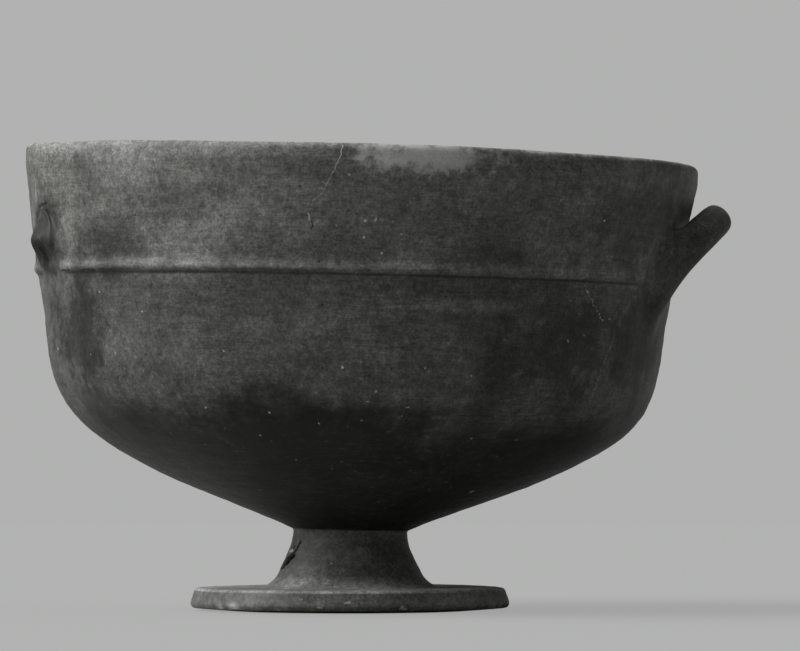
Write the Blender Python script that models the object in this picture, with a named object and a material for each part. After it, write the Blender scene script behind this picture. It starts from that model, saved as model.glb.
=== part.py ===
"""Pedestal bowl: a wide fired-clay bowl on a short hollow stem and a disc foot.

The vessel is turned about +Z and then settles a little to +X, as it does in its kiln. A loop
handle stands out at +X. Its twin at -X is broken off and leaves two rough stubs. Metres, +Z up,
standing on z = 0, with the origin under the middle of its bounding box.
"""
import math

import bmesh
import bpy
import numpy as np

MM = 0.001

# Foot
RING_INNER_RADIUS = 45.0 * MM
RING_WIDTH = 8.0 * MM
FOOT_RADIUS = 71.2 * MM
FOOT_TAPER = 2.0 * MM
FOOT_EDGE_HEIGHT = 2.4 * MM
FOOT_HEIGHT = 10.2 * MM
FOOT_ROUNDING = 1.5 * MM
FOOT_SIDE_TURN = math.radians(18.0)
RECESS_WALL = 9.5 * MM
FLOOR_OVER_RECESS = 12.0 * MM

# Stem
STEM_HEIGHT = 26.3 * MM
STEM_NECK_RADIUS = 25.3 * MM
STEM_FLARE = 6.4 * MM
NECK_DROP = 0.8 * MM
STEM_FILLET_HEIGHT = 7.0 * MM
STEM_FILLET_WIDTH = 10.5 * MM
GASH_LENGTH = 17.0 * MM
GASH_WIDTH = 9.5 * MM
GASH_DEPTH = 4.5 * MM
GASH_RISE = 14.7 * MM
GASH_ANGLE = math.radians(206.0)

# Bowl, from the stem up
COLLAR_STEP = 8.0 * MM
COLLAR_RISE = 2.7 * MM
CONE_END_RADIUS = 78.0 * MM
CONE_RISE = 19.65 * MM
BELLY_RADIUS = 137.6 * MM
BELLY_RISE = 71.15 * MM
BELLY_LOWER_PULL = 56.0 * MM
BELLY_UPPER_PULL = 38.0 * MM
BELLY_LOWER_SLOPE = math.radians(24.0)
BELLY_UPPER_SLOPE = math.radians(85.0)
SHOULDER_RISE = 20.3 * MM
SHOULDER_FLARE = 3.6 * MM
RIDGE_WIDTH = 5.6 * MM
RIDGE_PROJECTION = 1.6 * MM
RIM_RISE = 52.5 * MM
RIM_FLARE = 8.3 * MM
LIP_HEIGHT = 8.6 * MM
LIP_ROUNDING = 3.1 * MM
RIM_WALL = 6.6 * MM
FLOOR_WALL = 8.5 * MM

# Handles
HANDLE_SPAN = 95.6 * MM
HANDLE_ROOT_RISE = 4.9 * MM
HANDLE_PITCH = math.radians(44.6)
HANDLE_WIDTH = 11.0 * MM
HANDLE_THICKNESS = 14.8 * MM
HANDLE_GAP = 5.1 * MM
HANDLE_BEND = 30.0 * MM
FILLET_REACH = 20.0 * MM
FILLET_SIDE = 12.0 * MM
FILLET_BELOW = 26.0 * MM
FILLET_ABOVE = 6.0 * MM
HANDLE_ROOT_DEPTH = 4.0 * MM
STUB_SPAN = 99.0 * MM
STUB_REACH = 6.0 * MM
STUB_ROUGHNESS = 1.3 * MM
STUB_BREAK_SLOPE = 0.06

# How the soft clay settled
LEAN = math.radians(1.23)
LEAN_PIVOT_RISE = 18.4 * MM
RIM_SHIFT = 1.8 * MM
BELLY_SHIFT = 0.9 * MM
BELLY_SHIFT_RISE = 24.9 * MM
BELLY_SHIFT_SPREAD = 17.8 * MM
RIM_LIFT = 1.8 * MM
RIM_CORNER_LIFT = 2.4 * MM
RIM_LIFT_START = math.radians(35.0)
RIM_LIFT_END = math.radians(75.0)
RIM_CORNER_SPREAD = math.radians(16.0)

# Character of the curves, as shares of the sizes above
STEM_UPPER_PULL = 0.38
STEM_LOWER_PULL = 0.37
STEM_WAIST = 0.48
FOOT_FILLET_CORNER = (0.28, 0.06)
RIDGE_SECTION = ((0.00, 0.0), (0.22, 0.75), (0.48, 1.0), (0.74, 0.62), (1.00, 0.0))
RECESS_MOUTH = 0.35
RECESS_SHOULDER = 0.8
RECESS_CROWN = 0.6
COLLAR_HOLLOW = 0.25
LARGEST_ROUNDING = 0.45
LARGEST_BEND = 0.9
ROOT_STATIONS = (0.02, 0.06, 0.13, 0.23, 0.35, 0.5, 0.68)
ROOT_NEAREST = 0.02
STUB_STATIONS = (0.06, 0.2, 0.45, 0.75, 1.0)
BREAK_RINGS = (1.0, 0.66, 0.33)
BREAK_LUMPS = 3.0
BREAK_CHIPS = 7.0
BREAK_CHIP_SIZE = 0.6
BREAK_TWIST = 5.0

# Fineness of the mesh
TURN_STEPS = 64
SECTION_STEPS = 16
BELLY_STEPS = 11
CONE_STEPS = 3
STEM_STEPS = 5
INSIDE_STEPS = 6
FLOOR_STEPS = 4
LOOP_STEPS = 8
GASH_SEGMENTS = 16
GASH_RINGS = 10
CLOSE_TOGETHER = 0.001 * MM
SHARP_EDGE = math.radians(35.0)

# Sizes that follow from the ones above
RING_OUTER_RADIUS = RING_INNER_RADIUS + RING_WIDTH
FOOT_TOP_RADIUS = FOOT_RADIUS - FOOT_TAPER
STEM_BASE_RADIUS = STEM_NECK_RADIUS + STEM_FLARE
CONE_START_RADIUS = STEM_NECK_RADIUS + COLLAR_STEP
RIDGE_RADIUS = BELLY_RADIUS + SHOULDER_FLARE
RIM_RADIUS = RIDGE_RADIUS + RIM_FLARE
STEM_BASE = FOOT_HEIGHT + STEM_FILLET_HEIGHT
JUNCTION = FOOT_HEIGHT + STEM_HEIGHT
CONE_START = JUNCTION + COLLAR_RISE
CONE_END = JUNCTION + CONE_RISE
BELLY_TOP = CONE_END + BELLY_RISE
RIDGE = BELLY_TOP + SHOULDER_RISE
RIM = RIDGE + RIM_RISE
LIP_BASE = RIM - LIP_HEIGHT


def smooth(value):
    """Rises from 0 to 1 with no corner while value goes from 0 to 1."""
    t = np.clip(value, 0.0, 1.0)
    return t * t * (3.0 - 2.0 * t)


def bezier(points, count):
    """Count + 1 points along the Bezier curve of three or four (radius, height) points."""
    t = np.linspace(0.0, 1.0, count + 1)[:, None]
    p = [np.array(point) for point in points]
    if len(p) == 3:
        return (1 - t) ** 2 * p[0] + 2 * (1 - t) * t * p[1] + t ** 2 * p[2]
    return ((1 - t) ** 3 * p[0] + 3 * (1 - t) ** 2 * t * p[1]
            + 3 * (1 - t) * t ** 2 * p[2] + t ** 3 * p[3])


def arc(centre, radius, start, end, count):
    """Points on a circle in the section, by angle from +radius."""
    angle = np.linspace(start, end, count + 1)
    return np.column_stack((centre[0] + radius * np.cos(angle), centre[1] + radius * np.sin(angle)))


def belly_curve(count):
    """The round belly, from the end of the lower cone up to the shoulder."""
    start = np.array((CONE_END_RADIUS, CONE_END))
    end = np.array((BELLY_RADIUS, BELLY_TOP))
    leave = BELLY_LOWER_PULL * np.array((math.cos(BELLY_LOWER_SLOPE), math.sin(BELLY_LOWER_SLOPE)))
    arrive = BELLY_UPPER_PULL * np.array((math.cos(BELLY_UPPER_SLOPE), math.sin(BELLY_UPPER_SLOPE)))
    return bezier((start, start + leave, end - arrive, end), count)


def wall_line(count):
    """The outer wall without its ridge, from the lower cone up to the foot of the lip."""
    cone = np.linspace((CONE_START_RADIUS, CONE_START), (CONE_END_RADIUS, CONE_END), count // 2 + 1)
    upper = np.array(((RIDGE_RADIUS, RIDGE), (RIM_RADIUS, LIP_BASE)))
    return np.vstack((cone[:-1], belly_curve(count), upper))


FINE_WALL = wall_line(40)


def wall_radius(height):
    """Radius of the outer wall, without its ridge, at a height or an array of heights."""
    return np.interp(height, FINE_WALL[:, 1], FINE_WALL[:, 0])


def stem_curve(count):
    """The stem's waisted side, from its neck down to the start of the foot's fillet."""
    neck = (STEM_NECK_RADIUS, JUNCTION - NECK_DROP)
    base = (STEM_BASE_RADIUS, STEM_BASE)
    drop = neck[1] - base[1]
    upper_pull = (neck[0], neck[1] - STEM_UPPER_PULL * drop)
    lower_pull = (base[0] - STEM_WAIST * STEM_FLARE, base[1] + STEM_LOWER_PULL * drop)
    return bezier((neck, upper_pull, lower_pull, base), count)


FINE_STEM = stem_curve(24)[::-1]


def stem_radius(height):
    """Radius of the stem between the foot's fillet and its neck."""
    return float(np.interp(height, FINE_STEM[:, 1], FINE_STEM[:, 0]))


def ridge_bump():
    """The thin raised ridge: steep below, easy above."""
    heights = np.array([RIDGE + (share - 0.5) * RIDGE_WIDTH for share, _ in RIDGE_SECTION])
    stand = np.array([RIDGE_PROJECTION * out for _, out in RIDGE_SECTION])
    return np.column_stack((wall_radius(heights) + stand, heights))


def inner_wall():
    """The inside, from the lip down to the middle of the floor."""
    line = wall_line(INSIDE_STEPS)
    tangent = np.gradient(line, axis=0)
    tangent /= np.linalg.norm(tangent, axis=1)[:, None]
    share = (line[:, 1] - CONE_START) / (LIP_BASE - CONE_START)
    wall = FLOOR_WALL + (RIM_WALL - FLOOR_WALL) * share
    inside = line + wall[:, None] * np.column_stack((-tangent[:, 1], tangent[:, 0]))
    edge = inside[0]
    slope = tangent[0, 1] / tangent[0, 0]
    spread = np.linspace(0.0, 1.0, FLOOR_STEPS + 1)[:-1]
    floor_height = edge[1] - 0.5 * slope * edge[0] * (1.0 - spread ** 2)
    floor = np.column_stack((edge[0] * spread, floor_height))
    return np.vstack((floor, inside))[::-1]


def lip():
    """The rounded top of the rim, from its inner side over to its outer side."""
    rounding = min(LIP_ROUNDING, LARGEST_ROUNDING * RIM_WALL)
    inner_centre = (RIM_RADIUS - RIM_WALL + rounding, RIM - rounding)
    outer_centre = (RIM_RADIUS - rounding, RIM - rounding)
    return np.vstack((arc(inner_centre, rounding, math.pi, 0.5 * math.pi, 2),
                      arc(outer_centre, rounding, 0.5 * math.pi, 0.0, 2)))


def foot_and_recess(inner_floor):
    """From the foot's fillet over its edge and its ring, and up the hollow under the stem."""
    fillet = bezier(((STEM_BASE_RADIUS, STEM_BASE),
                     (STEM_BASE_RADIUS + FOOT_FILLET_CORNER[0] * STEM_FILLET_WIDTH,
                      FOOT_HEIGHT + FOOT_FILLET_CORNER[1] * STEM_FILLET_HEIGHT),
                     (STEM_BASE_RADIUS + STEM_FILLET_WIDTH, FOOT_HEIGHT)), 3)[1:]
    corner = arc((FOOT_TOP_RADIUS - FOOT_ROUNDING, FOOT_HEIGHT - FOOT_ROUNDING), FOOT_ROUNDING,
                 0.5 * math.pi, FOOT_SIDE_TURN, 2)
    edge = np.array(((FOOT_RADIUS, FOOT_EDGE_HEIGHT), (RING_OUTER_RADIUS, 0.0),
                     (RING_INNER_RADIUS, 0.0)))
    recess_top = inner_floor - FLOOR_OVER_RECESS
    recess_base = stem_radius(STEM_BASE) - RECESS_WALL
    recess_neck = stem_radius(JUNCTION) - RECESS_WALL
    recess = bezier(((RING_INNER_RADIUS, 0.0), (recess_base, RECESS_MOUTH * FOOT_HEIGHT),
                     (recess_neck, RECESS_SHOULDER * recess_top),
                     (RECESS_CROWN * recess_neck, recess_top)), 4)[1:]
    return np.vstack((fillet, corner, edge, recess, ((0.0, recess_top),)))


def vessel_profile():
    """The section of the vessel, from the axis up the inside, over the lip and down the outside."""
    inside = inner_wall()
    half_way = 0.5 * (LIP_BASE + RIDGE)
    upper = np.array(((RIM_RADIUS, LIP_BASE), (wall_radius(half_way), half_way)))
    ridge = ridge_bump()[::-1]
    belly = belly_curve(BELLY_STEPS)[::-1]
    cone = np.linspace((CONE_END_RADIUS, CONE_END), (CONE_START_RADIUS, CONE_START), CONE_STEPS + 1)[1:]
    collar = ((STEM_NECK_RADIUS + COLLAR_HOLLOW * COLLAR_STEP, JUNCTION),)
    base = foot_and_recess(inside[-1][1])
    return np.vstack((inside[::-1], lip(), upper, ridge, belly, cone, collar, stem_curve(STEM_STEPS), base))


def settle(points):
    """Carries points of the upright vessel to where its soft clay came to rest.

    Above the stem the vessel leans to +X. The rim on the broken side is lifted, and the belly
    and the rim stand slightly fuller on the +X side.
    """
    x, y, z = (np.array(points, dtype=float)[:, axis] for axis in range(3))
    from_left = np.arctan2(np.abs(y), -x)
    up_wall = smooth((z - RIDGE) / (RIM - RIDGE))
    lift = RIM_LIFT * (1.0 - smooth((from_left - RIM_LIFT_START) / (RIM_LIFT_END - RIM_LIFT_START)))
    lift = lift + RIM_CORNER_LIFT * np.exp(-(from_left / RIM_CORNER_SPREAD) ** 2)
    belly = np.exp(-((z - CONE_END - BELLY_SHIFT_RISE) / BELLY_SHIFT_SPREAD) ** 2)
    x = x + RIM_SHIFT * up_wall + BELLY_SHIFT * belly
    z = z + lift * up_wall
    pivot = FOOT_HEIGHT + LEAN_PIVOT_RISE
    turn = LEAN * smooth((z - FOOT_HEIGHT) / STEM_HEIGHT)
    reach, height = x, z - pivot
    return np.column_stack((reach * np.cos(turn) + height * np.sin(turn), y,
                            pivot - reach * np.sin(turn) + height * np.cos(turn)))


def settled_object(name, bm):
    """Makes an object of a closed bmesh after its clay has settled."""
    bmesh.ops.recalc_face_normals(bm, faces=bm.faces)
    moved = settle([vertex.co for vertex in bm.verts])
    for vertex, place in zip(bm.verts, moved):
        vertex.co = place
    mesh = bpy.data.meshes.new(name)
    bm.to_mesh(mesh)
    bm.free()
    thing = bpy.data.objects.new(name, mesh)
    bpy.context.scene.collection.objects.link(thing)
    return thing


def turn_vessel():
    """Spins the section once round the axis."""
    bm = bmesh.new()
    chain = [bm.verts.new((radius, 0.0, height)) for radius, height in vessel_profile()]
    edges = [bm.edges.new(pair) for pair in zip(chain, chain[1:])]
    bmesh.ops.spin(bm, geom=chain + edges, cent=(0, 0, 0), axis=(0, 0, 1), dvec=(0, 0, 0),
                   angle=2.0 * math.pi, steps=TURN_STEPS, use_merge=True)
    bmesh.ops.remove_doubles(bm, verts=bm.verts, dist=CLOSE_TOGETHER)
    return settled_object("pedestal_bowl", bm)


def skin_rings(rings, tips):
    """A closed bmesh over rings of points, with a fan from each end ring to its tip."""
    bm = bmesh.new()
    loops = [[bm.verts.new(point) for point in ring] for ring in rings]
    for first, second in zip(loops, loops[1:]):
        for here in range(len(first)):
            after = (here + 1) % len(first)
            bm.faces.new((first[here], first[after], second[after], second[here]))
    for loop, tip in ((loops[0], tips[0]), (loops[-1], tips[1])):
        middle = bm.verts.new(tip)
        for here in range(len(loop)):
            bm.faces.new((loop[here], loop[(here + 1) % len(loop)], middle))
    return bm


def section_angles():
    """Angles of the points round a handle's section."""
    return np.linspace(0.0, 2.0 * math.pi, SECTION_STEPS, endpoint=False)


def root_swell(distance):
    """How far a root has swollen, 1 at the wall and 0 beyond the fillet, along a round fillet."""
    near = min(max(distance / FILLET_REACH, ROOT_NEAREST), 1.0)
    return 1.0 - math.sqrt(1.0 - (1.0 - near) ** 2)


def root_ring(centre):
    """A section that lies parallel to the wall, at its centre's distance from it."""
    angle = section_angles()
    radius = math.hypot(centre[0], centre[1])
    distance = radius - wall_radius(centre[2])
    swell = root_swell(distance)
    width = 0.5 * HANDLE_WIDTH + FILLET_SIDE * swell
    height = 0.5 * HANDLE_THICKNESS / math.cos(HANDLE_PITCH)
    above = height + FILLET_ABOVE * swell
    below = height + FILLET_BELOW * swell
    around = math.atan2(centre[1], centre[0]) + width * np.cos(angle) / radius
    level = centre[2] + 0.5 * (above - below) + 0.5 * (above + below) * np.sin(angle)
    out = wall_radius(level) + distance
    return np.column_stack((out * np.cos(around), out * np.sin(around), level))


def root_point(span):
    """Where a handle's centre line meets the wall, for a root at -Y."""
    height = RIDGE + HANDLE_ROOT_RISE
    radius = float(wall_radius(height))
    return np.array((math.sqrt(radius ** 2 - (0.5 * span) ** 2), -0.5 * span, height))


def loop_reach(root):
    """Distance up the loop's slope from its roots to the bar, with the gap kept behind the bar."""
    half_bar = math.hypot(0.5 * HANDLE_WIDTH * math.cos(HANDLE_PITCH),
                          0.5 * HANDLE_THICKNESS * math.sin(HANDLE_PITCH))
    reach = 0.0
    for _ in range(30):
        wall = float(wall_radius(root[2] + reach * math.sin(HANDLE_PITCH)))
        reach = (wall + HANDLE_GAP + half_bar - root[0]) / math.cos(HANDLE_PITCH)
    return reach


def loop_bend(reach):
    """Radius of the loop's two corners, limited by its legs and by half its bar."""
    return min(HANDLE_BEND, LARGEST_BEND * reach, LARGEST_BEND * 0.5 * HANDLE_SPAN)


def loop_station(travel, reach):
    """Place (up the slope, across) and heading on the loop's centre line after some travel."""
    bend = loop_bend(reach)
    leg = reach - bend
    quarter = 0.5 * math.pi * bend
    if travel < leg:
        return travel, -0.5 * HANDLE_SPAN, 0.0
    if travel < leg + quarter:
        turned = (travel - leg) / bend
        return (leg + bend * math.sin(turned), -0.5 * HANDLE_SPAN + bend * (1.0 - math.cos(turned)),
                turned)
    return reach, -0.5 * HANDLE_SPAN + bend + (travel - leg - quarter), 0.5 * math.pi


def make_loop_handle():
    """The whole handle: a rising U of oval section whose roots swell into the wall."""
    root = root_point(HANDLE_SPAN)
    reach = loop_reach(root)
    bend = loop_bend(reach)
    half_length = reach - bend + 0.5 * math.pi * bend + 0.5 * HANDLE_SPAN - bend
    slope = np.array((math.cos(HANDLE_PITCH), 0.0, math.sin(HANDLE_PITCH)))
    across = np.array((0.0, 1.0, 0.0))
    above = np.cross(slope, across)
    angle = section_angles()
    fillet_travel = FILLET_REACH / math.cos(HANDLE_PITCH)
    near_root = fillet_travel * np.array(ROOT_STATIONS)
    onward = np.linspace(near_root[-1], half_length, LOOP_STEPS + 1)[1:]
    buried = (-HANDLE_ROOT_DEPTH / math.cos(HANDLE_PITCH),)
    half = []
    for travel in np.concatenate((buried, near_root, onward)):
        up, side, heading = loop_station(travel, reach)
        centre = np.array((root[0], 0.0, root[2])) + up * slope + side * across
        outward = -math.sin(heading) * slope + math.cos(heading) * across
        free = (centre + 0.5 * HANDLE_WIDTH * np.cos(angle)[:, None] * outward
                + 0.5 * HANDLE_THICKNESS * np.sin(angle)[:, None] * above)
        own = float(smooth(travel / fillet_travel))
        half.append(own * free + (1.0 - own) * root_ring(centre))
    mirror = np.array((1.0, -1.0, 1.0))
    rings = half + [ring * mirror for ring in half[-2::-1]]
    tips = (rings[0].mean(axis=0), rings[-1].mean(axis=0))
    return settled_object("loop_handle", skin_rings(rings, tips))


def broken_end(last, side):
    """The rough break across a stub: rings that close on its middle, and the tip itself."""
    angle = section_angles()
    middle = last.mean(axis=0)
    rings = []
    for share in BREAK_RINGS:
        lumps = np.sin(BREAK_LUMPS * angle + BREAK_TWIST * share + side)
        chips = BREAK_CHIP_SIZE * np.sin(BREAK_CHIPS * angle - BREAK_TWIST * share)
        ring = middle + share * (last - middle)
        ring[:, 0] += STUB_ROUGHNESS * (lumps + chips) - STUB_BREAK_SLOPE * (ring[:, 2] - middle[2])
        rings.append(ring)
    return rings, middle - np.array((STUB_ROUGHNESS, 0.0, 0.0))


def make_stub(name, side):
    """One broken handle root at -X: it swells from the wall and ends in a rough break."""
    root = root_point(STUB_SPAN)
    place = np.array((-1.0, side, 1.0))
    rings = []
    for distance in (-HANDLE_ROOT_DEPTH,) + tuple(STUB_REACH * share for share in STUB_STATIONS):
        rise = distance * math.tan(HANDLE_PITCH)
        outward = (root[0] + distance) / root[0]
        rings.append(root_ring(np.array((root[0] * outward, root[1] * outward, root[2] + rise))))
    end_rings, tip = broken_end(rings[-1], side)
    rings = [ring * place for ring in rings[:-1] + end_rings]
    return settled_object(name, skin_rings(rings, (rings[0].mean(axis=0), tip * place)))


def make_gash():
    """The lens-shaped cutter for the gash in the stem."""
    middle = FOOT_HEIGHT + GASH_RISE
    step = 0.25 * GASH_LENGTH
    tilt = math.atan2(stem_radius(middle - step) - stem_radius(middle + step), 2.0 * step)
    radius = stem_radius(middle)
    bm = bmesh.new()
    bmesh.ops.create_uvsphere(bm, u_segments=GASH_SEGMENTS, v_segments=GASH_RINGS, radius=1.0)
    for vertex in bm.verts:
        depth = GASH_DEPTH * vertex.co.x
        width = 0.5 * GASH_WIDTH * vertex.co.y
        length = 0.5 * GASH_LENGTH * vertex.co.z
        out = radius + depth * math.cos(tilt) - length * math.sin(tilt)
        up = middle + depth * math.sin(tilt) + length * math.cos(tilt)
        vertex.co = (out * math.cos(GASH_ANGLE) - width * math.sin(GASH_ANGLE),
                     out * math.sin(GASH_ANGLE) + width * math.cos(GASH_ANGLE), up)
    return settled_object("stem_gash", bm)


def combine(body, tool, operation):
    """Joins a tool to the body or cuts it away, and keeps the result as the body's own mesh."""
    modifier = body.modifiers.new(tool.name, "BOOLEAN")
    modifier.operation = operation
    modifier.solver = "EXACT"
    modifier.object = tool
    graph = bpy.context.evaluated_depsgraph_get()
    result = bpy.data.meshes.new_from_object(body.evaluated_get(graph))
    body.modifiers.clear()
    body.data = result
    bpy.data.objects.remove(tool)


def centre_on_origin(thing):
    """Puts the origin under the middle of the object's box, on the ground it stands on."""
    places = np.array([vertex.co for vertex in thing.data.vertices])
    low = places.min(axis=0)
    high = places.max(axis=0)
    shift = np.array((0.5 * (low[0] + high[0]), 0.5 * (low[1] + high[1]), low[2]))
    for vertex, place in zip(thing.data.vertices, places - shift):
        vertex.co = place


def burnished_clay():
    """Dark grey fired clay, rubbed to a low sheen."""
    material = bpy.data.materials.new("burnished_clay")
    material.use_nodes = True
    shader = material.node_tree.nodes["Principled BSDF"]
    shader.inputs["Base Color"].default_value = (0.075, 0.073, 0.070, 1.0)
    shader.inputs["Roughness"].default_value = 0.42
    shader.inputs["Metallic"].default_value = 0.0
    return material


def main():
    for old in list(bpy.data.objects):
        bpy.data.objects.remove(old, do_unlink=True)
    bowl = turn_vessel()
    combine(bowl, make_loop_handle(), "UNION")
    combine(bowl, make_stub("near_stub", 1.0), "UNION")
    combine(bowl, make_stub("far_stub", -1.0), "UNION")
    combine(bowl, make_gash(), "DIFFERENCE")
    centre_on_origin(bowl)
    bowl.data.materials.clear()
    bowl.data.materials.append(burnished_clay())
    bowl.data.shade_smooth()
    bowl.data.set_sharp_from_angle(angle=SHARP_EDGE)


main()
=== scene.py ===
import math
from types import SimpleNamespace

import bmesh
import bpy
import numpy as np
from bpy.props import FloatProperty, FloatVectorProperty, IntProperty, PointerProperty
from bpy.types import Operator, Panel, PropertyGroup
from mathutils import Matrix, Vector


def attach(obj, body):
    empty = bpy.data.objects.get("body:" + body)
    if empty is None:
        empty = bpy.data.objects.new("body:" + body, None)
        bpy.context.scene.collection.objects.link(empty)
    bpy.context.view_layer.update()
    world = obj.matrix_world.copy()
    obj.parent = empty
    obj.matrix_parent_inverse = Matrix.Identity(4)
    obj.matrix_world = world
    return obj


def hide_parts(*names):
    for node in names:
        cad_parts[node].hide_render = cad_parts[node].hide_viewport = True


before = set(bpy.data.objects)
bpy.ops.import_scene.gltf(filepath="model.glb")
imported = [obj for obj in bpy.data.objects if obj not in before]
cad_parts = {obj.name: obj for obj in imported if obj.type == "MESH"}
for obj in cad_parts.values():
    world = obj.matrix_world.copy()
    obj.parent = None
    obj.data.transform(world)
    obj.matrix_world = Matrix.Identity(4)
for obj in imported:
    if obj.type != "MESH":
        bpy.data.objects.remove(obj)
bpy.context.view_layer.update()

bl_info = {
    "name": "Pedestal Bowl",
    "version": (1, 0, 0),
    "blender": (4, 5, 0),
    "location": "View3D > Sidebar > Bowl",
    "description": "A burnished clay bowl on a foot, with one whole handle and the roots of a lost one",
    "category": "Add Mesh",
}

MM = 0.001
BODY = "root"
NODE = "pedestal_bowl"
UPRIGHT = "upright"
WORN_AND_GLEAMING = "worn"
BROKEN = "broken"
CHIPPED = "chipped"
GASH_SHADE = "gashed"
ROLLED = "rolled"
SHADE_UNDER_RIDGE = "sooted"
LIT_CREST = "crested"
FINE = 120
LINE_STEP = 0.1 * MM
FLAT_BELOW = 0.4 * MM
TOUCHING = 0.01 * MM
ROOT_NEAREST = 0.004
SETTLING_ROUNDS = 8
MERGE_DISTANCE = 0.02 * MM
SEAM_ROUNDS = 6
SEAM_SPREAD = 0.8
SEAM_PULL = 0.6
STUB_PULL = 0.7
BLUR_ROUNDS = 10
PATCH_DEPTH = 60.0 * MM
FLOOR_STEPS = 128
FLOOR_RINGS = (0.4, 1.0, 3.0, 8.0)
CLIP_END = 100.0
SENSOR = 36.0
IMAGE_WIDTH = 800
IMAGE_HEIGHT = 651


def length(millimetres, description):
    """A length property, given in millimetres and kept in metres."""
    return FloatProperty(description=description, default=millimetres * MM, min=0.0, precision=5,
                         unit="LENGTH")


def metres(value, description):
    """A length property, given in metres."""
    return FloatProperty(description=description, default=value, unit="LENGTH")


def turn(degrees, description):
    """An angle property, given in degrees."""
    return FloatProperty(description=description, default=math.radians(degrees), subtype="ANGLE",
                         unit="ROTATION")


def share(value, description):
    """A plain share or factor."""
    return FloatProperty(description=description, default=value, soft_min=0.0, soft_max=1.0)


def plain(value, description):
    """A number in a unit of its own."""
    return FloatProperty(description=description, default=value)


def count(value, description):
    """A whole number of steps or copies."""
    return IntProperty(description=description, default=value, min=1)


def tint(value, description):
    """A linear colour."""
    return FloatVectorProperty(description=description, default=value, size=3, min=0.0, max=1.0,
                               subtype="COLOR")


class FootSizes(PropertyGroup):
    ring_inner_radius: length(45.0, "Inner radius of the flat ring the bowl stands on")
    ring_width: length(8.0, "Width of the flat ring")
    foot_radius: length(71.2, "Widest radius of the disc foot")
    foot_taper: length(2.0, "How much narrower the foot is at its top")
    foot_edge_height: length(3.2, "Height of the foot's widest line")
    foot_heel_inset: length(1.2, "How far the foot's lower edge stands in from there")
    foot_heel_height: length(1.3, "Height of the lower edge")
    foot_height: length(10.2, "Height of the disc")
    foot_rounding: length(1.5, "Rounding of the foot's upper edge")
    foot_side_turn: turn(18.0, "Where the rounding meets the side")
    recess_wall: length(9.5, "Clay between the stem's side and the hollow below")
    floor_over_recess: length(12.0, "Clay between the hollow below and the bowl's floor")
    recess_mouth: share(0.35, "Where the hollow turns up, as a share of the foot's height")
    recess_shoulder: share(0.8, "Where the hollow turns in, as a share of its height")
    recess_crown: share(0.6, "Width of the hollow's top, as a share of its neck")


class StemSizes(PropertyGroup):
    stem_height: length(26.3, "Height of the stem above the foot")
    neck_radius: length(25.3, "Radius at the stem's neck")
    stem_flare: length(6.4, "How much wider the stem is at its base")
    neck_drop: length(0.8, "Height of the groove under the bowl")
    fillet_height: length(7.0, "Height of the curve from the stem to the foot")
    fillet_width: length(10.5, "Width of that curve")
    upper_pull: share(0.38, "How straight the stem leaves its neck")
    lower_pull: share(0.37, "How straight it comes to its base")
    waist: share(0.48, "How hollow the stem's side is")
    gash_depth: length(4.4, "Depth of the gash where it is widest")
    gash_angle: turn(206.0, "Where the gash lies round the stem")


class WallSizes(PropertyGroup):
    collar_step: length(8.0, "Step from the neck out to the bowl's underside")
    collar_rise: length(2.7, "Height of that step")
    cone_end_radius: length(78.0, "Radius where the straight underside becomes the belly")
    cone_rise: length(19.65, "Height of the straight underside's end above the stem")
    belly_radius: length(137.6, "Radius at the top of the belly")
    belly_rise: length(71.15, "Height of the belly")
    belly_lower_pull: length(56.0, "How straight the belly leaves the underside")
    belly_upper_pull: length(38.0, "How straight it comes to the shoulder")
    belly_lower_slope: turn(24.0, "Slope of the belly's start")
    belly_upper_slope: turn(85.0, "Slope of the belly's end")
    shoulder_rise: length(20.3, "From the belly up to the ridge")
    shoulder_flare: length(3.6, "How much wider the wall is at the ridge")
    ridge_width: length(5.6, "Width of the raised ridge")
    ridge_projection: length(1.6, "How far the ridge stands out")
    rim_rise: length(52.5, "From the ridge up to the rim")
    rim_flare: length(8.3, "How much wider the wall is at the rim")
    lip_height: length(8.6, "Height of the upright band under the rim")
    lip_rounding: length(3.1, "Rounding of the rim's edges")
    rim_wall: length(6.6, "Thickness of the wall at the rim")
    floor_wall: length(8.5, "Thickness of the wall near the floor")


class HandleSizes(PropertyGroup):
    span: length(95.6, "Distance between the loop's legs")
    root_rise: length(4.9, "Height of the roots above the ridge")
    pitch: turn(44.6, "How steeply the loop rises")
    width: length(11.0, "Width of the rod across the loop's plane")
    thickness: length(14.8, "Thickness of the bar")
    leg_swell: length(1.7, "How much thicker the legs are than the bar")
    gap: length(5.1, "Space between the bar and the wall")
    bend: length(30.0, "Radius of the loop's corners")
    fillet_reach: length(20.0, "How far out the roots are swollen")
    fillet_side: length(12.0, "How much the roots spread sideways")
    fillet_below: length(26.0, "How much they spread downwards")
    fillet_above: length(9.0, "How much they spread upwards")
    root_depth: length(4.0, "How deep the roots go into the wall")
    stub_span: length(99.0, "Distance between the two stubs")
    stub_reach: length(6.0, "How far the stubs stand out")
    stub_spread: share(1.4, "How much wider the stubs' swelling is than the whole root's")
    stub_roughness: length(0.6, "Height of the lumps on the broken faces")


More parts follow.
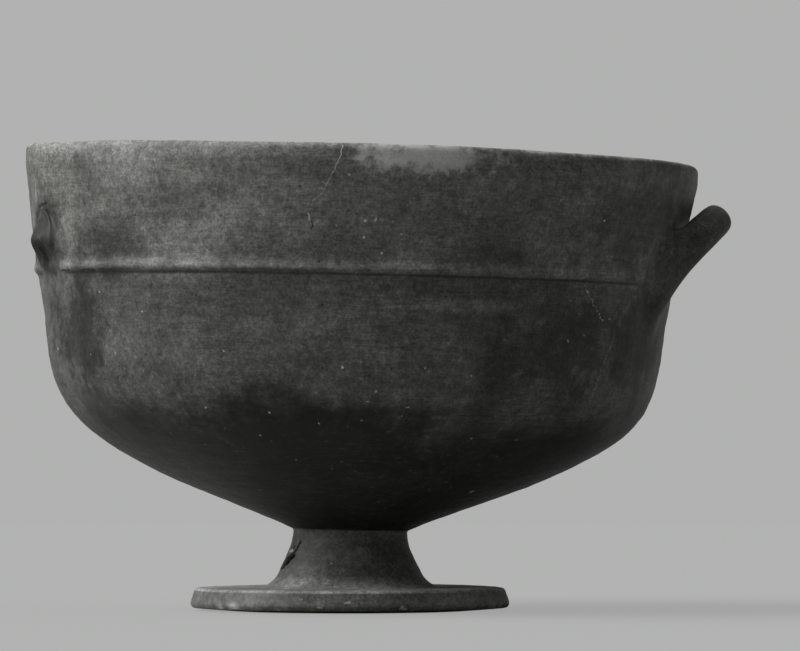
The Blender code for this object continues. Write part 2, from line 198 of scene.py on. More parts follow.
class Settling(PropertyGroup):
    lean: turn(1.23, "How far the bowl leans to the whole handle")
    lean_pivot_rise: length(18.4, "Height above the foot about which it leans")
    rim_shift: length(1.8, "How far the rim slid to the whole handle")
    belly_shift: length(0.9, "How far the belly slid")
    belly_shift_rise: length(24.9, "Where up the belly that is")
    belly_shift_spread: length(17.8, "Over what height")
    rim_lift: length(1.8, "How much higher the rim is on the broken side")
    corner_lift: length(2.4, "How much higher again at its very end")
    lift_start: turn(35.0, "Where the lift begins to fade, from the broken side")
    lift_end: turn(75.0, "Where it has gone")
    corner_spread: turn(21.0, "How wide the highest part is")
    side_lift: length(0.9, "How much higher the rim is along the front and back")
    side_lift_start: turn(18.0, "Where that begins, from the broken side")
    side_lift_full: turn(70.0, "Where it is whole")
    side_lift_fade: turn(100.0, "Where it begins to fade")
    side_lift_end: turn(134.0, "Where it has gone")


class HandWork(PropertyGroup):
    turn_steps: count(236, "Points round the vessel")
    close_turn: share(1.4, "How much closer they stand by the lost handle and the gash")
    rod_steps: count(56, "Points round a handle's rod")
    outside_spacing: length(1.45, "Distance between the rings on the outside")
    inside_spacing: length(4.2, "Distance between the rings on the inside")
    detail_spacing: length(0.6, "Distance between the rings on edges and on the ridge")
    softening: length(0.5, "How much the section's corners are rubbed round")
    groove_depth: length(0.09, "Depth of the turning marks outside")
    throwing_depth: length(0.3, "Depth of the throwing rings inside")
    unevenness: length(0.12, "How far the wall departs from a true turning")
    rod_unevenness: length(0.2, "How far the handle departs from an even rod")
    rim_inset: length(0.04, "How far the rim is rubbed down all round")
    nick_depth: length(0.45, "Depth of the nicks in the rim")
    nick_count: count(40, "Number of nicks round the rim")
    chip_depth: length(0.6, "Depth of the chips on the foot's edge")
    hand_seed: count(7, "Start of the random draws")


class ClayFinish(PropertyGroup):
    clay: tint((0.084, 0.085, 0.078), "Burnished dark clay")
    # Pale film on weathered parts; the same tone is the painted highlight on the ridge's crest, the lip's
    # top, the foot's top and a turning groove, and the painted light on the foot's right side.
    bloom: tint((0.230, 0.232, 0.224), "Pale film on the weathered parts")
    # The darkest tone: smoke stains, and the painted shade under the bowl, under the ridge, on the shaded
    # right side and in the gash.
    smoke: tint((0.011, 0.011, 0.0095), "Darkest, smoke-stained parts")
    fresh: tint((0.36, 0.36, 0.34), "Bare clay in chips and scratches")
    roughness: share(0.55, "Roughness of the burnish")
    rough_clay: share(0.85, "Roughness of broken and worn clay")
    sheen_level: share(0.18, "Specular level of the burnish")


class StageSettings(PropertyGroup):
    floor_radius: metres(30.0, "Radius of the pale floor")
    lit_radius: metres(1.2, "Where the floor begins to fade into the backdrop")
    faded_radius: metres(3.0, "Where it has become the backdrop's tone")
    backdrop: tint((0.440, 0.446, 0.440), "Tone of the backdrop")
    floor_fill: share(0.8, "How much of the floor's shadow the backdrop's tone fills")
    floor: tint((0.30, 0.303, 0.30), "Colour of the floor")
    room_light: share(0.30, "The room's own light, as a share of the backdrop's")
    wall_distance: metres(4.0, "How far behind the bowl the bright wall stands")
    wall_width: metres(3.6, "Width of the bright wall")
    wall_height: metres(2.4, "Height of the bright wall")
    key_strength: plain(5.7, "Strength of the side light")
    key_azimuth: turn(278.0, "Where the side light stands, turned from the front")
    key_elevation: turn(41.0, "How high it stands")
    key_softness: turn(56.0, "Width of the light as seen from the bowl")
    top_strength: plain(0.6, "Strength of the light from above")
    top_softness: turn(100.0, "Width of the light from above")
    camera_side: length(22.26, "How far the camera stands to the right of the foot's axis")
    camera_distance: metres(2.75, "Distance from the foot's axis")
    camera_height: length(76.1, "Height above the floor")
    camera_pitch: turn(1.052, "How far the camera looks up")
    lens: plain(278.1, "Focal length in millimetres")


SETTINGS = {
    "bowl_foot": FootSizes,
    "bowl_stem": StemSizes,
    "bowl_wall": WallSizes,
    "bowl_handle": HandleSizes,
    "bowl_settling": Settling,
    "bowl_hand_work": HandWork,
    "bowl_finish": ClayFinish,
    "bowl_stage": StageSettings,
}


def all_sizes(scene):
    """Every setting under its own name, with the sizes and heights that follow from them."""
    s = SimpleNamespace()
    for group in SETTINGS:
        for name in SETTINGS[group].__annotations__:
            setattr(s, name, getattr(getattr(scene, group), name))
    s.ring_outer_radius = s.ring_inner_radius + s.ring_width
    s.foot_top_radius = s.foot_radius - s.foot_taper
    s.stem_base_radius = s.neck_radius + s.stem_flare
    s.cone_start_radius = s.neck_radius + s.collar_step
    s.ridge_radius = s.belly_radius + s.shoulder_flare
    s.rim_radius = s.ridge_radius + s.rim_flare
    s.stem_base = s.foot_height + s.fillet_height
    s.junction = s.foot_height + s.stem_height
    s.cone_start = s.junction + s.collar_rise
    s.cone_end = s.junction + s.cone_rise
    s.belly_top = s.cone_end + s.belly_rise
    s.ridge = s.belly_top + s.shoulder_rise
    s.rim = s.ridge + s.rim_rise
    s.lip_base = s.rim - s.lip_height
    s.axis = foot_axis()
    s.fine_wall = wall_line(s, FINE)
    s.fine_stem = stem_curve(s, FINE)[::-1]
    return s


def smooth(value):
    """3t² − 2t³ of value held between 0 and 1."""
    t = np.clip(value, 0.0, 1.0)
    return t * t * (3.0 - 2.0 * t)


def bell(value):
    """e to the minus value squared."""
    return np.exp(-np.square(value))


def bezier(points, steps):
    """Bezier curve of three or four (radius, height) points, by repeated straight blends."""
    t = np.linspace(0.0, 1.0, steps + 1)[:, None]
    rows = [np.array(point, dtype=float)[None, :] for point in points]
    while len(rows) > 1:
        rows = [(1.0 - t) * here + t * after for here, after in zip(rows, rows[1:])]
    return rows[0]


def arc(centre, radius, start, end, steps):
    """Points of a circle in the section: centre + radius (cos a, sin a)."""
    angle = np.linspace(start, end, steps + 1)
    return np.column_stack((centre[0] + radius * np.cos(angle), centre[1] + radius * np.sin(angle)))


def straight(start, end, steps):
    """Evenly spaced points from start to end."""
    return np.linspace(start, end, steps + 1)


def belly_curve(s, steps):
    """The belly: a cubic Bezier whose pulls point along its slopes at both ends."""
    start = np.array((s.cone_end_radius, s.cone_end))
    end = np.array((s.belly_radius, s.belly_top))
    leave = s.belly_lower_pull * np.array((math.cos(s.belly_lower_slope), math.sin(s.belly_lower_slope)))
    arrive = s.belly_upper_pull * np.array((math.cos(s.belly_upper_slope), math.sin(s.belly_upper_slope)))
    return bezier((start, start + leave, end - arrive, end), steps)


def wall_line(s, steps):
    """The outer wall without its ridge: straight underside, belly, shoulder and upper wall."""
    cone = straight((s.cone_start_radius, s.cone_start), (s.cone_end_radius, s.cone_end), steps // 2)
    shoulder = straight((s.belly_radius, s.belly_top), (s.ridge_radius, s.ridge), steps // 4)
    upper = straight((s.ridge_radius, s.ridge), (s.rim_radius, s.lip_base), steps // 3)
    return np.vstack((cone[:-1], belly_curve(s, steps)[:-1], shoulder[:-1], upper))


def stem_curve(s, steps):
    """The stem's hollow side, from its neck down to the foot's fillet."""
    neck = (s.neck_radius, s.junction - s.neck_drop)
    base = (s.stem_base_radius, s.stem_base)
    drop = neck[1] - base[1]
    return bezier((neck, (neck[0], neck[1] - s.upper_pull * drop),
                   (base[0] - s.waist * s.stem_flare, base[1] + s.lower_pull * drop), base), steps)


def wall_radius(s, height):
    """Radius of the outer wall, without its ridge, read off its line."""
    return np.interp(height, s.fine_wall[:, 1], s.fine_wall[:, 0])


def stem_radius(s, height):
    """Radius of the stem, read off its curve."""
    return np.interp(height, s.fine_stem[:, 1], s.fine_stem[:, 0])


def ridge_height(s, height):
    """How far the ridge stands out: a skewed bell, steep below and easy above."""
    side = (height - s.ridge) / (0.5 * s.ridge_width)
    return s.ridge_projection * np.where(side < 0.0, bell(2.3 * side), bell(0.85 * side))


def inner_line(s):
    """The inside: the outer wall moved in by the wall's thickness, and a shallow round floor."""
    line = s.fine_wall
    tangent = np.gradient(line, axis=0)
    tangent /= np.linalg.norm(tangent, axis=1)[:, None]
    up = (line[:, 1] - s.cone_start) / (s.lip_base - s.cone_start)
    wall = s.floor_wall + (s.rim_wall - s.floor_wall) * up
    inside = line + wall[:, None] * np.column_stack((-tangent[:, 1], tangent[:, 0]))
    edge = inside[0]
    spread = np.linspace(0.0, 1.0, FINE)[:-1]
    slope = tangent[0, 1] / tangent[0, 0]
    floor = np.column_stack((edge[0] * spread, edge[1] - 0.5 * slope * edge[0] * (1.0 - spread ** 2)))
    return np.vstack((floor, inside))


def section(s):
    """The vessel's closed section as a dense line with the wanted distance between rings.

    It runs from the middle of the floor up the inside, over the lip, down the outside, round the
    foot and up the hollow under the stem to the axis.
    """
    inside = inner_line(s)
    rounding = s.lip_rounding
    inner_lip = arc((s.rim_radius - s.rim_wall + rounding, s.rim - rounding), rounding,
                    math.pi, 0.5 * math.pi, FINE // 8)
    outer_lip = arc((s.rim_radius - rounding, s.rim - rounding), rounding,
                    0.5 * math.pi, 0.0, FINE // 8)
    wall = s.fine_wall[::-1].copy()
    wall[:, 0] += ridge_height(s, wall[:, 1])
    collar = ((s.neck_radius + 0.25 * s.collar_step, s.junction),)
    stem = stem_curve(s, FINE // 2)
    fillet = bezier((stem[-1], (s.stem_base_radius + 0.28 * s.fillet_width,
                                s.foot_height + 0.06 * s.fillet_height),
                     (s.stem_base_radius + s.fillet_width, s.foot_height)), FINE // 4)
    corner = arc((s.foot_top_radius - s.foot_rounding, s.foot_height - s.foot_rounding),
                 s.foot_rounding, 0.5 * math.pi, s.foot_side_turn, FINE // 8)
    edge = ((s.foot_radius, s.foot_edge_height), (s.foot_radius - s.foot_heel_inset, s.foot_heel_height))
    ring = ((s.ring_outer_radius, 0.0), (s.ring_inner_radius, 0.0))
    top = inside[0][1] - s.floor_over_recess
    neck = stem_radius(s, s.junction) - s.recess_wall
    recess = bezier(((s.ring_inner_radius, 0.0),
                     (stem_radius(s, s.stem_base) - s.recess_wall, s.recess_mouth * s.foot_height),
                     (neck, s.recess_shoulder * top), (s.recess_crown * neck, top)), FINE // 3)
    stretches = (
        (inside, s.inside_spacing),
        (inner_lip, s.detail_spacing),
        (outer_lip, s.detail_spacing),
        (wall, s.outside_spacing),
        (collar, s.detail_spacing),
        (stem, 1.1 * s.detail_spacing),
        (fillet, s.outside_spacing),
        (corner, s.detail_spacing),
        (edge, s.detail_spacing),
        (ring, s.outside_spacing),
        (recess, 0.6 * s.inside_spacing),
        (((0.0, top),), s.inside_spacing),
    )
    points = np.vstack([np.array(part, dtype=float) for part, _ in stretches])
    spacing = np.concatenate([np.full(len(part), gap) for part, gap in stretches])
    near_ridge = bell((points[:, 1] - s.ridge) / s.ridge_width) * (points[:, 0] > s.belly_radius)
    spacing = spacing + (s.detail_spacing - spacing) * near_ridge
    return points, spacing


def even_line(points, step):
    """The same line with points a fixed step apart along it, and the distance travelled."""
    travel = np.concatenate(((0.0,), np.cumsum(np.linalg.norm(np.diff(points, axis=0), axis=1))))
    marks = np.linspace(0.0, travel[-1], int(travel[-1] / step) + 1)
    return np.column_stack([np.interp(marks, travel, points[:, axis]) for axis in (0, 1)]), marks, travel


def softened(line, width, step):
    """The line averaged along itself with a bell-shaped weight, its two ends held."""
    reach = int(4.0 * width / step)
    weight = bell(np.arange(-reach, reach + 1) * step / (math.sqrt(2.0) * width))
    weight /= weight.sum()
    first = 2.0 * line[0] - line[reach:0:-1]
    last = 2.0 * line[-1] - line[-2:-reach - 2:-1]
    padded = np.vstack((first, line, last))
    return np.column_stack([np.convolve(padded[:, axis], weight, mode="valid") for axis in (0, 1)])


def vessel_rings(s):
    """Radius and height of each ring, and the section's outward direction there."""
    points, spacing = section(s)
    line, marks, travel = even_line(points, LINE_STEP)
    wanted = np.interp(marks, travel, spacing)
    line = softened(line, s.softening, LINE_STEP)
    on_ring = (line[:, 0] > s.ring_inner_radius) & (line[:, 0] < s.ring_outer_radius)
    flat = (line[:, 1] < FLAT_BELOW) & on_ring
    line[flat, 1] = 0.0
    line[:, 1] = np.maximum(line[:, 1], 0.0)
    rank = np.concatenate(((0.0,), np.cumsum(LINE_STEP / wanted[:-1])))
    total = int(rank[-1])
    place = np.interp(np.linspace(0.0, rank[-1], total + 1), rank, marks)
    rings = np.column_stack([np.interp(place, marks, line[:, axis]) for axis in (0, 1)])
    slope = np.gradient(line, axis=0)
    slope /= np.linalg.norm(slope, axis=1)[:, None]
    along = np.column_stack([np.interp(place, marks, slope[:, axis]) for axis in (0, 1)])
    outward = np.column_stack((along[:, 1], -along[:, 0])) * -1.0
    return rings, outward, place


def waves(points, wavelength, terms, seed):
    """A smooth random field of unit spread: a sum of cosines in random directions."""
    rng = np.random.default_rng(seed)
    direction = rng.normal(size=(terms, 3))
    direction /= np.linalg.norm(direction, axis=1)[:, None]
    number = 2.0 * math.pi / wavelength * rng.uniform(0.7, 1.4, terms)
    phase = rng.uniform(0.0, 2.0 * math.pi, terms)
    return np.cos(points @ (direction * number[:, None]).T + phase).sum(axis=1) * math.sqrt(2.0 / terms)


def hollow(points, centre, reach, depth):
    """A round dent: depth times a bell of the distance from its centre over its reach."""
    return depth * bell(np.linalg.norm(points - np.array(centre), axis=1) / reach)


def turning_marks(s, points, place, outside):
    """Fine grooves that run round the outside and fade in and out, and throwing rings inside."""
    stretched = points * np.array((1.0, 1.0, 14.0))
    grooves = waves(stretched, 60.0 * MM, 26, s.hand_seed)
    grooves += 0.6 * waves(stretched, 28.0 * MM, 26, s.hand_seed + 1)
    rings = np.cos(2.0 * math.pi * place / (11.0 * MM) + 0.8 * waves(points, 120.0 * MM, 8, s.hand_seed + 2))
    return np.where(outside, s.groove_depth * 0.5 * grooves, s.throwing_depth * 0.5 * rings)


def rim_nicks(s, points):
    """Small dents at random places along the lip's outer and upper edge."""
    rng = np.random.default_rng(s.hand_seed + 3)
    dents = np.zeros(len(points))
    near = points[:, 2] > s.rim - 0.9 * s.lip_height
    for around, size, over in rng.uniform((0.0, 0.3, 0.0), (2.0 * math.pi, 1.0, 1.0), (s.nick_count, 3)):
        radius = s.rim_radius - over * s.lip_rounding
        height = s.rim - (1.0 - over) * s.lip_rounding
        centre = (radius * math.cos(around), radius * math.sin(around), height)
        dents[near] += hollow(points[near], centre, 2.6 * MM * size ** 0.5, s.nick_depth * size)
    return dents


def foot_chips(s, points):
    """Chips along the foot's lower edge, at random places all round."""
    rng = np.random.default_rng(s.hand_seed + 4)
    dents = np.zeros(len(points))
    for around, width in zip(rng.uniform(0.0, 2.0 * math.pi, 11), rng.uniform(1.6 * MM, 3.2 * MM, 11)):
        centre = (s.foot_radius * math.cos(around), s.foot_radius * math.sin(around), s.foot_heel_height)
        dents += hollow(points, centre, width, s.chip_depth)
    return dents


# The gash from its top down: height above the foot, place to the right of its angle, half its width
GASH_LINE = np.array((
    (21.4, 3.0, 0.0),
    (19.8, 2.6, 0.75),
    (17.0, 1.6, 0.85),
    (15.4, 0.6, 1.60),
    (14.0, -1.6, 3.60),
    (11.5, -4.4, 4.40),
    (9.4, -6.8, 3.20),
    (7.2, -8.8, 0.0),
)) * MM


def gash_frame(s, points):
    """How far each point lies from the gash's middle line, round the stem, and half its width there."""
    rise, aside, half = GASH_LINE[::-1].T
    height = points[:, 2] - s.foot_height
    around = np.arctan2(points[:, 1], points[:, 0]) - (s.gash_angle - 2.0 * math.pi)
    across = around * stem_radius(s, points[:, 2]) - np.interp(height, rise, aside)
    return across, np.interp(height, rise, half)


def stem_gash(s, points):
    """A ragged gash: depth × √(1 − (across / half width)²) × (half width / the widest)^0.7."""
    across, half = gash_frame(s, points)
    ragged = waves(points, 3.5 * MM, 16, s.hand_seed + 9)
    wide = half * (1.0 + 0.22 * ragged)
    across = across - 0.12 * MM * ragged
    inside = np.clip(1.0 - (across / np.maximum(wide, 0.01 * MM)) ** 2, 0.0, 1.0)
    radius = np.hypot(points[:, 0], points[:, 1])
    on_stem = (points[:, 2] - s.foot_height > 0.0) & (points[:, 2] < s.junction)
    shallow = np.minimum(wide / GASH_LINE[:, 2].max(), 1.0) ** 0.7
    return np.where(on_stem & (radius > 0.8 * s.neck_radius), s.gash_depth * np.sqrt(inside) * shallow, 0.0)


def vessel_relief(s, points, place, outside):
    """How far each point of the turned wall moves outwards, which is never above zero on the rim."""
    slow = s.unevenness * waves(points, 150.0 * MM, 10, s.hand_seed + 5)
    marks = turning_marks(s, points, place, outside)
    fine = 0.03 * MM * waves(points, 9.0 * MM, 30, s.hand_seed + 6)
    stands = smooth((points[:, 2] - 1.0 * MM) / (3.0 * MM))
    relief = (slow + marks + fine) * stands
    rim = smooth((points[:, 2] - s.lip_base) / s.lip_rounding + 2.0)
    relief = relief - rim * np.maximum(relief, -s.rim_inset) - rim * s.rim_inset
    return relief - rim_nicks(s, points) - foot_chips(s, points) - stem_gash(s, points)


def settle(s, points):
    """Carries points of the upright vessel to where its soft clay came to rest, in the part's frame.

    The rim slides by shift × smooth(height above the ridge), it lifts by smooth steps and a bell of
    the angle from its broken side, and everything above the foot turns by lean × smooth(height).
    """
    x, y, z = points.T
    from_left = np.arctan2(np.abs(y), -x)
    up_wall = smooth((z - s.ridge) / (s.rim - s.ridge))
    lift = s.rim_lift * (1.0 - smooth((from_left - s.lift_start) / (s.lift_end - s.lift_start)))
    lift = lift + s.corner_lift * bell(from_left / s.corner_spread)
    beside = smooth((from_left - s.side_lift_start) / (s.side_lift_full - s.side_lift_start))
    beside = beside * smooth((s.side_lift_end - from_left) / (s.side_lift_end - s.side_lift_fade))
    lift = lift + s.side_lift * beside
    bulge = bell((z - s.cone_end - s.belly_shift_rise) / s.belly_shift_spread)
    x = x + s.rim_shift * up_wall + s.belly_shift * bulge
    z = z + lift * up_wall
    pivot = s.foot_height + s.lean_pivot_rise
    lean = s.lean * smooth((z - s.foot_height) / s.stem_height)
    return np.column_stack((s.axis + x * np.cos(lean) + (z - pivot) * np.sin(lean), y,
                            pivot - x * np.sin(lean) + (z - pivot) * np.cos(lean)))


def unsettle(s, points):
    """The reverse of settle, by moving a guess by what settle leaves over."""
    guess = points - np.array((s.axis, 0.0, 0.0))
    for _ in range(SETTLING_ROUNDS):
        guess = guess + points - settle(s, guess)
    return guess


def foot_axis():
    """Where the foot's axis stands in the part's frame: the middle of what touches the ground."""
    places = mesh_places(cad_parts[NODE].data)
    ground = places[places[:, 2] < TOUCHING].astype(np.float32)
    return float(0.5 * (ground[:, 0].min() + ground[:, 0].max()))


def tube_faces(rings, around):
    """Quads of a grid of rings that closes round, as indices row by row."""
    first = (np.arange(rings - 1)[:, None] * around + np.arange(around)[None, :]).ravel()
    step = np.where(np.arange(around) == around - 1, 1 - around, 1)
    after = first + np.tile(step, rings - 1)
    return np.column_stack((first, after, after + around, first + around))


def closed_tube(rings):
    """Points, quads and triangles of rings (steps, around, 3) closed by a fan at both ends."""
    steps, around = rings.shape[:2]
    tips = np.array((rings[0].mean(axis=0), rings[-1].mean(axis=0)))
    points = np.vstack((rings.reshape(-1, 3), tips))
    here = np.arange(around)
    after = np.roll(here, -1)
    start = np.column_stack((after, here, np.full(around, steps * around)))
    end = np.column_stack((here, after, np.full(around, steps * around + 1))) + np.array(
        ((steps - 1) * around, (steps - 1) * around, 0))
    return points, tube_faces(steps, around), np.vstack((start, end))


def placed(name, data):
    """A new object of the scene that holds the data."""
    thing = bpy.data.objects.new(name, data)
    bpy.context.scene.collection.objects.link(thing)
    return thing


def mesh_object(name, parts):
    """One object of several closed tubes, its faces turned outwards."""
    vertices, faces, shift = [], [], 0
    for points, quads, triangles in parts:
        vertices.append(points)
        faces += (quads + shift).tolist() + (triangles + shift).tolist()
        shift += len(points)
    mesh = bpy.data.meshes.new(name)
    mesh.from_pydata(np.vstack(vertices), [], faces)
    bm = bmesh.new()
    bm.from_mesh(mesh)
    bmesh.ops.recalc_face_normals(bm, faces=bm.faces)
    bm.to_mesh(mesh)
    bm.free()
    return placed(name, mesh)


# Where the steps round the vessel stand closer: its middle, half its width and its fading edge, in
# radians, and how finely it is worked out
CLOSE_MIDDLE = math.pi + 0.08
CLOSE_HALF = 0.75
CLOSE_FADE = 0.2
TURN_SAMPLES = 2000


def turn_angles(s):
    """Angles round the vessel, closer together from the gash to the far root of the lost handle."""
    even = np.linspace(0.0, 2.0 * math.pi, TURN_SAMPLES)
    density = 1.0 + s.close_turn * smooth((CLOSE_HALF - np.abs(even - CLOSE_MIDDLE)) / CLOSE_FADE)
    rank = np.concatenate(((0.0,), np.cumsum(0.5 * (density[1:] + density[:-1]))))
    return np.interp(np.linspace(0.0, rank[-1], s.turn_steps + 1), rank, even)[:-1]


def turned_vessel(s):
    """The vessel: every ring of the section turned round the axis, then worked by relief × outward."""
    rings, outward, place = vessel_rings(s)
    rings, outward, place = rings[1:-1], outward[1:-1], place[1:-1]
    angle = turn_angles(s)
    cosine, sine = np.cos(angle)[None, :], np.sin(angle)[None, :]
    points = np.stack((rings[:, 0:1] * cosine, rings[:, 0:1] * sine,
                       np.repeat(rings[:, 1:2], s.turn_steps, axis=1)), axis=2)
    normals = np.stack((outward[:, 0:1] * cosine, outward[:, 0:1] * sine,
                        np.repeat(outward[:, 1:2], s.turn_steps, axis=1)), axis=2)
    flat = points.reshape(-1, 3)
    top = int(np.argmax(rings[:, 1]))
    outside = np.repeat(np.arange(len(rings)) > top, s.turn_steps)
    relief = vessel_relief(s, flat, np.repeat(place, s.turn_steps), outside)
    moved = flat + relief[:, None] * normals.reshape(-1, 3)
    moved[:, 2] = np.maximum(moved[:, 2], 0.0)
    return closed_tube(settle(s, moved).reshape(points.shape))


def root_rings(s, centre, angle):
    """Sections that lie parallel to the wall, swollen towards it along a quarter circle."""
    radius = np.hypot(centre[:, 0], centre[:, 1])
    distance = radius - wall_radius(s, centre[:, 2])
    near = np.clip(distance / s.fillet_reach, ROOT_NEAREST, 1.0)
    swell = 1.0 - np.sqrt(1.0 - (1.0 - near) ** 2)
    width = 0.5 * s.width + s.fillet_side * swell
    height = 0.5 * (s.thickness + s.leg_swell) / math.cos(s.pitch)
    above = height + s.fillet_above * swell
    below = height + s.fillet_below * swell
    around = (np.arctan2(centre[:, 1], centre[:, 0])[:, None]
              + (width / radius)[:, None] * np.cos(angle)[None, :])
    level = centre[:, 2:3] + 0.5 * (above - below)[:, None] + 0.5 * (above + below)[:, None] * np.sin(angle)
    out = wall_radius(s, level) + distance[:, None]
    return np.stack((out * np.cos(around), out * np.sin(around), level), axis=2)


def root_point(s, span):
    """Where a handle's centre line meets the wall, for a root at −Y."""
    height = s.ridge + s.root_rise
    radius = float(wall_radius(s, height))
    return np.array((math.sqrt(radius ** 2 - (0.5 * span) ** 2), -0.5 * span, height))


def loop_reach(s, root):
    """Distance up the loop's slope to the bar, with the gap kept behind the bar."""
    half_bar = math.hypot(0.5 * s.width * math.cos(s.pitch), 0.5 * s.thickness * math.sin(s.pitch))
    reach = 0.0
    for _ in range(30):
        wall = float(wall_radius(s, root[2] + reach * math.sin(s.pitch)))
        reach = (wall + s.gap + half_bar - root[0]) / math.cos(s.pitch)
    return reach


def loop_line(s, travel, reach):
    """Place up the slope, place across and heading along one half of the loop.

    A straight leg, a quarter circle of the bend's radius, then half the straight bar.
    """
    leg = reach - s.bend
    turned = np.clip((travel - leg) / s.bend, 0.0, 0.5 * math.pi)
    onward = np.maximum(travel - leg - 0.5 * math.pi * s.bend, 0.0)
    up = np.minimum(travel, leg) + s.bend * np.sin(turned)
    side = -0.5 * s.span + s.bend * (1.0 - np.cos(turned)) + onward
    return up, side, turned


def hand_rolled(s, rings, amount, seed):
    """The rings drawn in a little unevenly, as a rod rolled by hand is."""
    middle = rings.mean(axis=1, keepdims=True)
    spoke = rings - middle
    flat = rings.reshape(-1, 3)
    slow = waves(flat, 45.0 * MM, 12, seed).reshape(rings.shape[:2])
    fine = waves(flat, 8.0 * MM, 24, seed + 1).reshape(rings.shape[:2])
    inset = amount * (0.9 - 0.35 * np.clip(slow, -2.0, 2.0) - 0.12 * np.clip(fine, -2.0, 2.0))
    distance = np.linalg.norm(spoke, axis=2)
    return middle + spoke * (1.0 - np.clip(inset / distance, -0.2, 0.2))[:, :, None]


def loop_handle(s):
    """The whole handle: an oval carried along a rising U, blended into its roots at the wall."""
    root = root_point(s, s.span)
    reach = loop_reach(s, root)
    half_length = reach - s.bend + 0.5 * math.pi * s.bend + 0.5 * s.span - s.bend
    fillet_travel = s.fillet_reach / math.cos(s.pitch)
    near_wall = fillet_travel * np.linspace(0.0, 1.0, 26) ** 1.6
    onward = np.linspace(fillet_travel, half_length, 44)[1:]
    travel = np.concatenate(((-s.root_depth / math.cos(s.pitch),), near_wall, onward))
    up, side, heading = loop_line(s, travel, reach)
    slope = np.array((math.cos(s.pitch), 0.0, math.sin(s.pitch)))
    across = np.array((0.0, 1.0, 0.0))
    above = np.cross(slope, across)
    angle = np.linspace(0.0, 2.0 * math.pi, s.rod_steps, endpoint=False)
    centre = np.array((root[0], 0.0, root[2])) + up[:, None] * slope + side[:, None] * across
    outward = -np.sin(heading)[:, None] * slope + np.cos(heading)[:, None] * across
    thick = s.thickness + s.leg_swell * (1.0 - smooth(heading / (0.5 * math.pi)))
    free = (centre[:, None, :] + 0.5 * s.width * np.cos(angle)[None, :, None] * outward[:, None, :]
            + 0.5 * thick[:, None, None] * np.sin(angle)[None, :, None] * above)
    held = root_rings(s, centre, angle)
    own = smooth(travel / fillet_travel)[:, None, None]
    half = own * free + (1.0 - own) * held
    mirrored = half[-2::-1] * np.array((1.0, -1.0, 1.0))
    rings = np.concatenate((half, mirrored))
    rings = hand_rolled(s, rings, s.rod_unevenness, s.hand_seed + 8)
    return closed_tube(settle(s, rings.reshape(-1, 3)).reshape(rings.shape))


# How far a broken root stands out, as a share of its reach, by height above the root's middle
BREAK_LINE = np.array((
    (-16.0, 0.05),
    (-10.0, 0.08),
    (-6.0, 0.18),
    (-3.7, 0.50),
    (-1.5, 0.34),
    (1.5, 0.70),
    (5.0, 1.20),
    (7.6, 1.46),
    (9.0, 1.20),
    (11.0, 0.98),
    (14.0, 0.52),
    (17.0, 0.34),
    (20.0, 0.22),
))


def broken_stub(s, side, seed):
    """One broken root: a swelling that rises to a tip and is torn off below it, along a rough slope.

    Each point's distance from the wall is multiplied by a share read off its height, and the torn
    slope gets lumps: a sum of waves cut off above and below.
    """
    root = root_point(s, s.stub_span)
    angle = np.linspace(0.0, 2.0 * math.pi, s.rod_steps, endpoint=False)
    distance = s.stub_reach * np.concatenate(((-s.root_depth / s.stub_reach,), np.linspace(0.0, 1.0, 14)))
    scale = (root[0] + distance) / root[0]
    centre = np.column_stack((root[0] * scale, root[1] * scale, root[2] + distance * math.tan(s.pitch)))
    rings = root_rings(s, centre, angle)
    last = rings[-1]
    middle = last.mean(axis=0)
    inward = np.linspace(1.0, 0.04, 17)[:, None, None]
    rings = np.concatenate((rings[:-1], middle + inward * (last - middle)))
    places = rings.reshape(-1, 3)
    radius = np.hypot(places[:, 0], places[:, 1])
    root_angle = math.atan2(root[1], root[0])
    around = root_angle + s.stub_spread * (np.arctan2(places[:, 1], places[:, 0]) - root_angle)
    places[:, 0] = radius * np.cos(around)
    places[:, 1] = radius * np.sin(around)
    stands = radius - wall_radius(s, places[:, 2])
    height = places[:, 2] - root[2]
    wanted = stands * np.interp(height, BREAK_LINE[:, 0] * MM, BREAK_LINE[:, 1])
    fading = smooth(np.abs(around - root_angle) * radius / (2.2 * s.width)) * smooth(height / (6.0 * MM))
    wanted = wanted * (1.0 - 0.65 * fading)
    lumps = waves(places, 8.0 * MM, 20, seed + 2) + 0.6 * waves(places, 3.5 * MM, 20, seed + 3)
    standing = smooth((stands - 0.5 * s.stub_reach) / (0.4 * s.stub_reach))
    torn = smooth((8.0 * MM - height) / (3.0 * MM)) * standing
    wanted = wanted + s.stub_roughness * torn * np.clip(lumps, -1.6, 1.0)
    wander = waves(places, 30.0 * MM, 6, seed + 4)
    creases = 0.12 * MM * np.cos(2.0 * math.pi * places[:, 1] / (3.4 * MM) + wander)
    wanted = wanted + (1.0 - torn) * creases * smooth(stands / (0.5 * s.stub_reach))
    wanted = np.where(stands > 0.0, np.maximum(wanted, 0.1 * MM), stands)
    places[:, :2] *= ((radius - stands + wanted) / radius)[:, None]
    rings = places.reshape(rings.shape) * np.array((-1.0, side, 1.0))
    return closed_tube(settle(s, rings.reshape(-1, 3)).reshape(rings.shape))


def unite(body, tool):
    """Joins the tool to the body with a Boolean, and keeps the tool's faces on the second material."""
    for thing in (body, tool):
        thing.data.materials.append(bpy.data.materials.new("part_clay"))
        thing.data.materials.append(bpy.data.materials.new("part_seam"))
    tool.data.polygons.foreach_set("material_index", np.ones(len(tool.data.polygons), np.int32))
    modifier = body.modifiers.new("Roots", "BOOLEAN")
    modifier.operation = "UNION"
    modifier.solver = "EXACT"
    modifier.object = tool
    graph = bpy.context.evaluated_depsgraph_get()
    result = bpy.data.meshes.new_from_object(body.evaluated_get(graph))
    body.modifiers.clear()
    body.data = result
    bpy.data.objects.remove(tool)


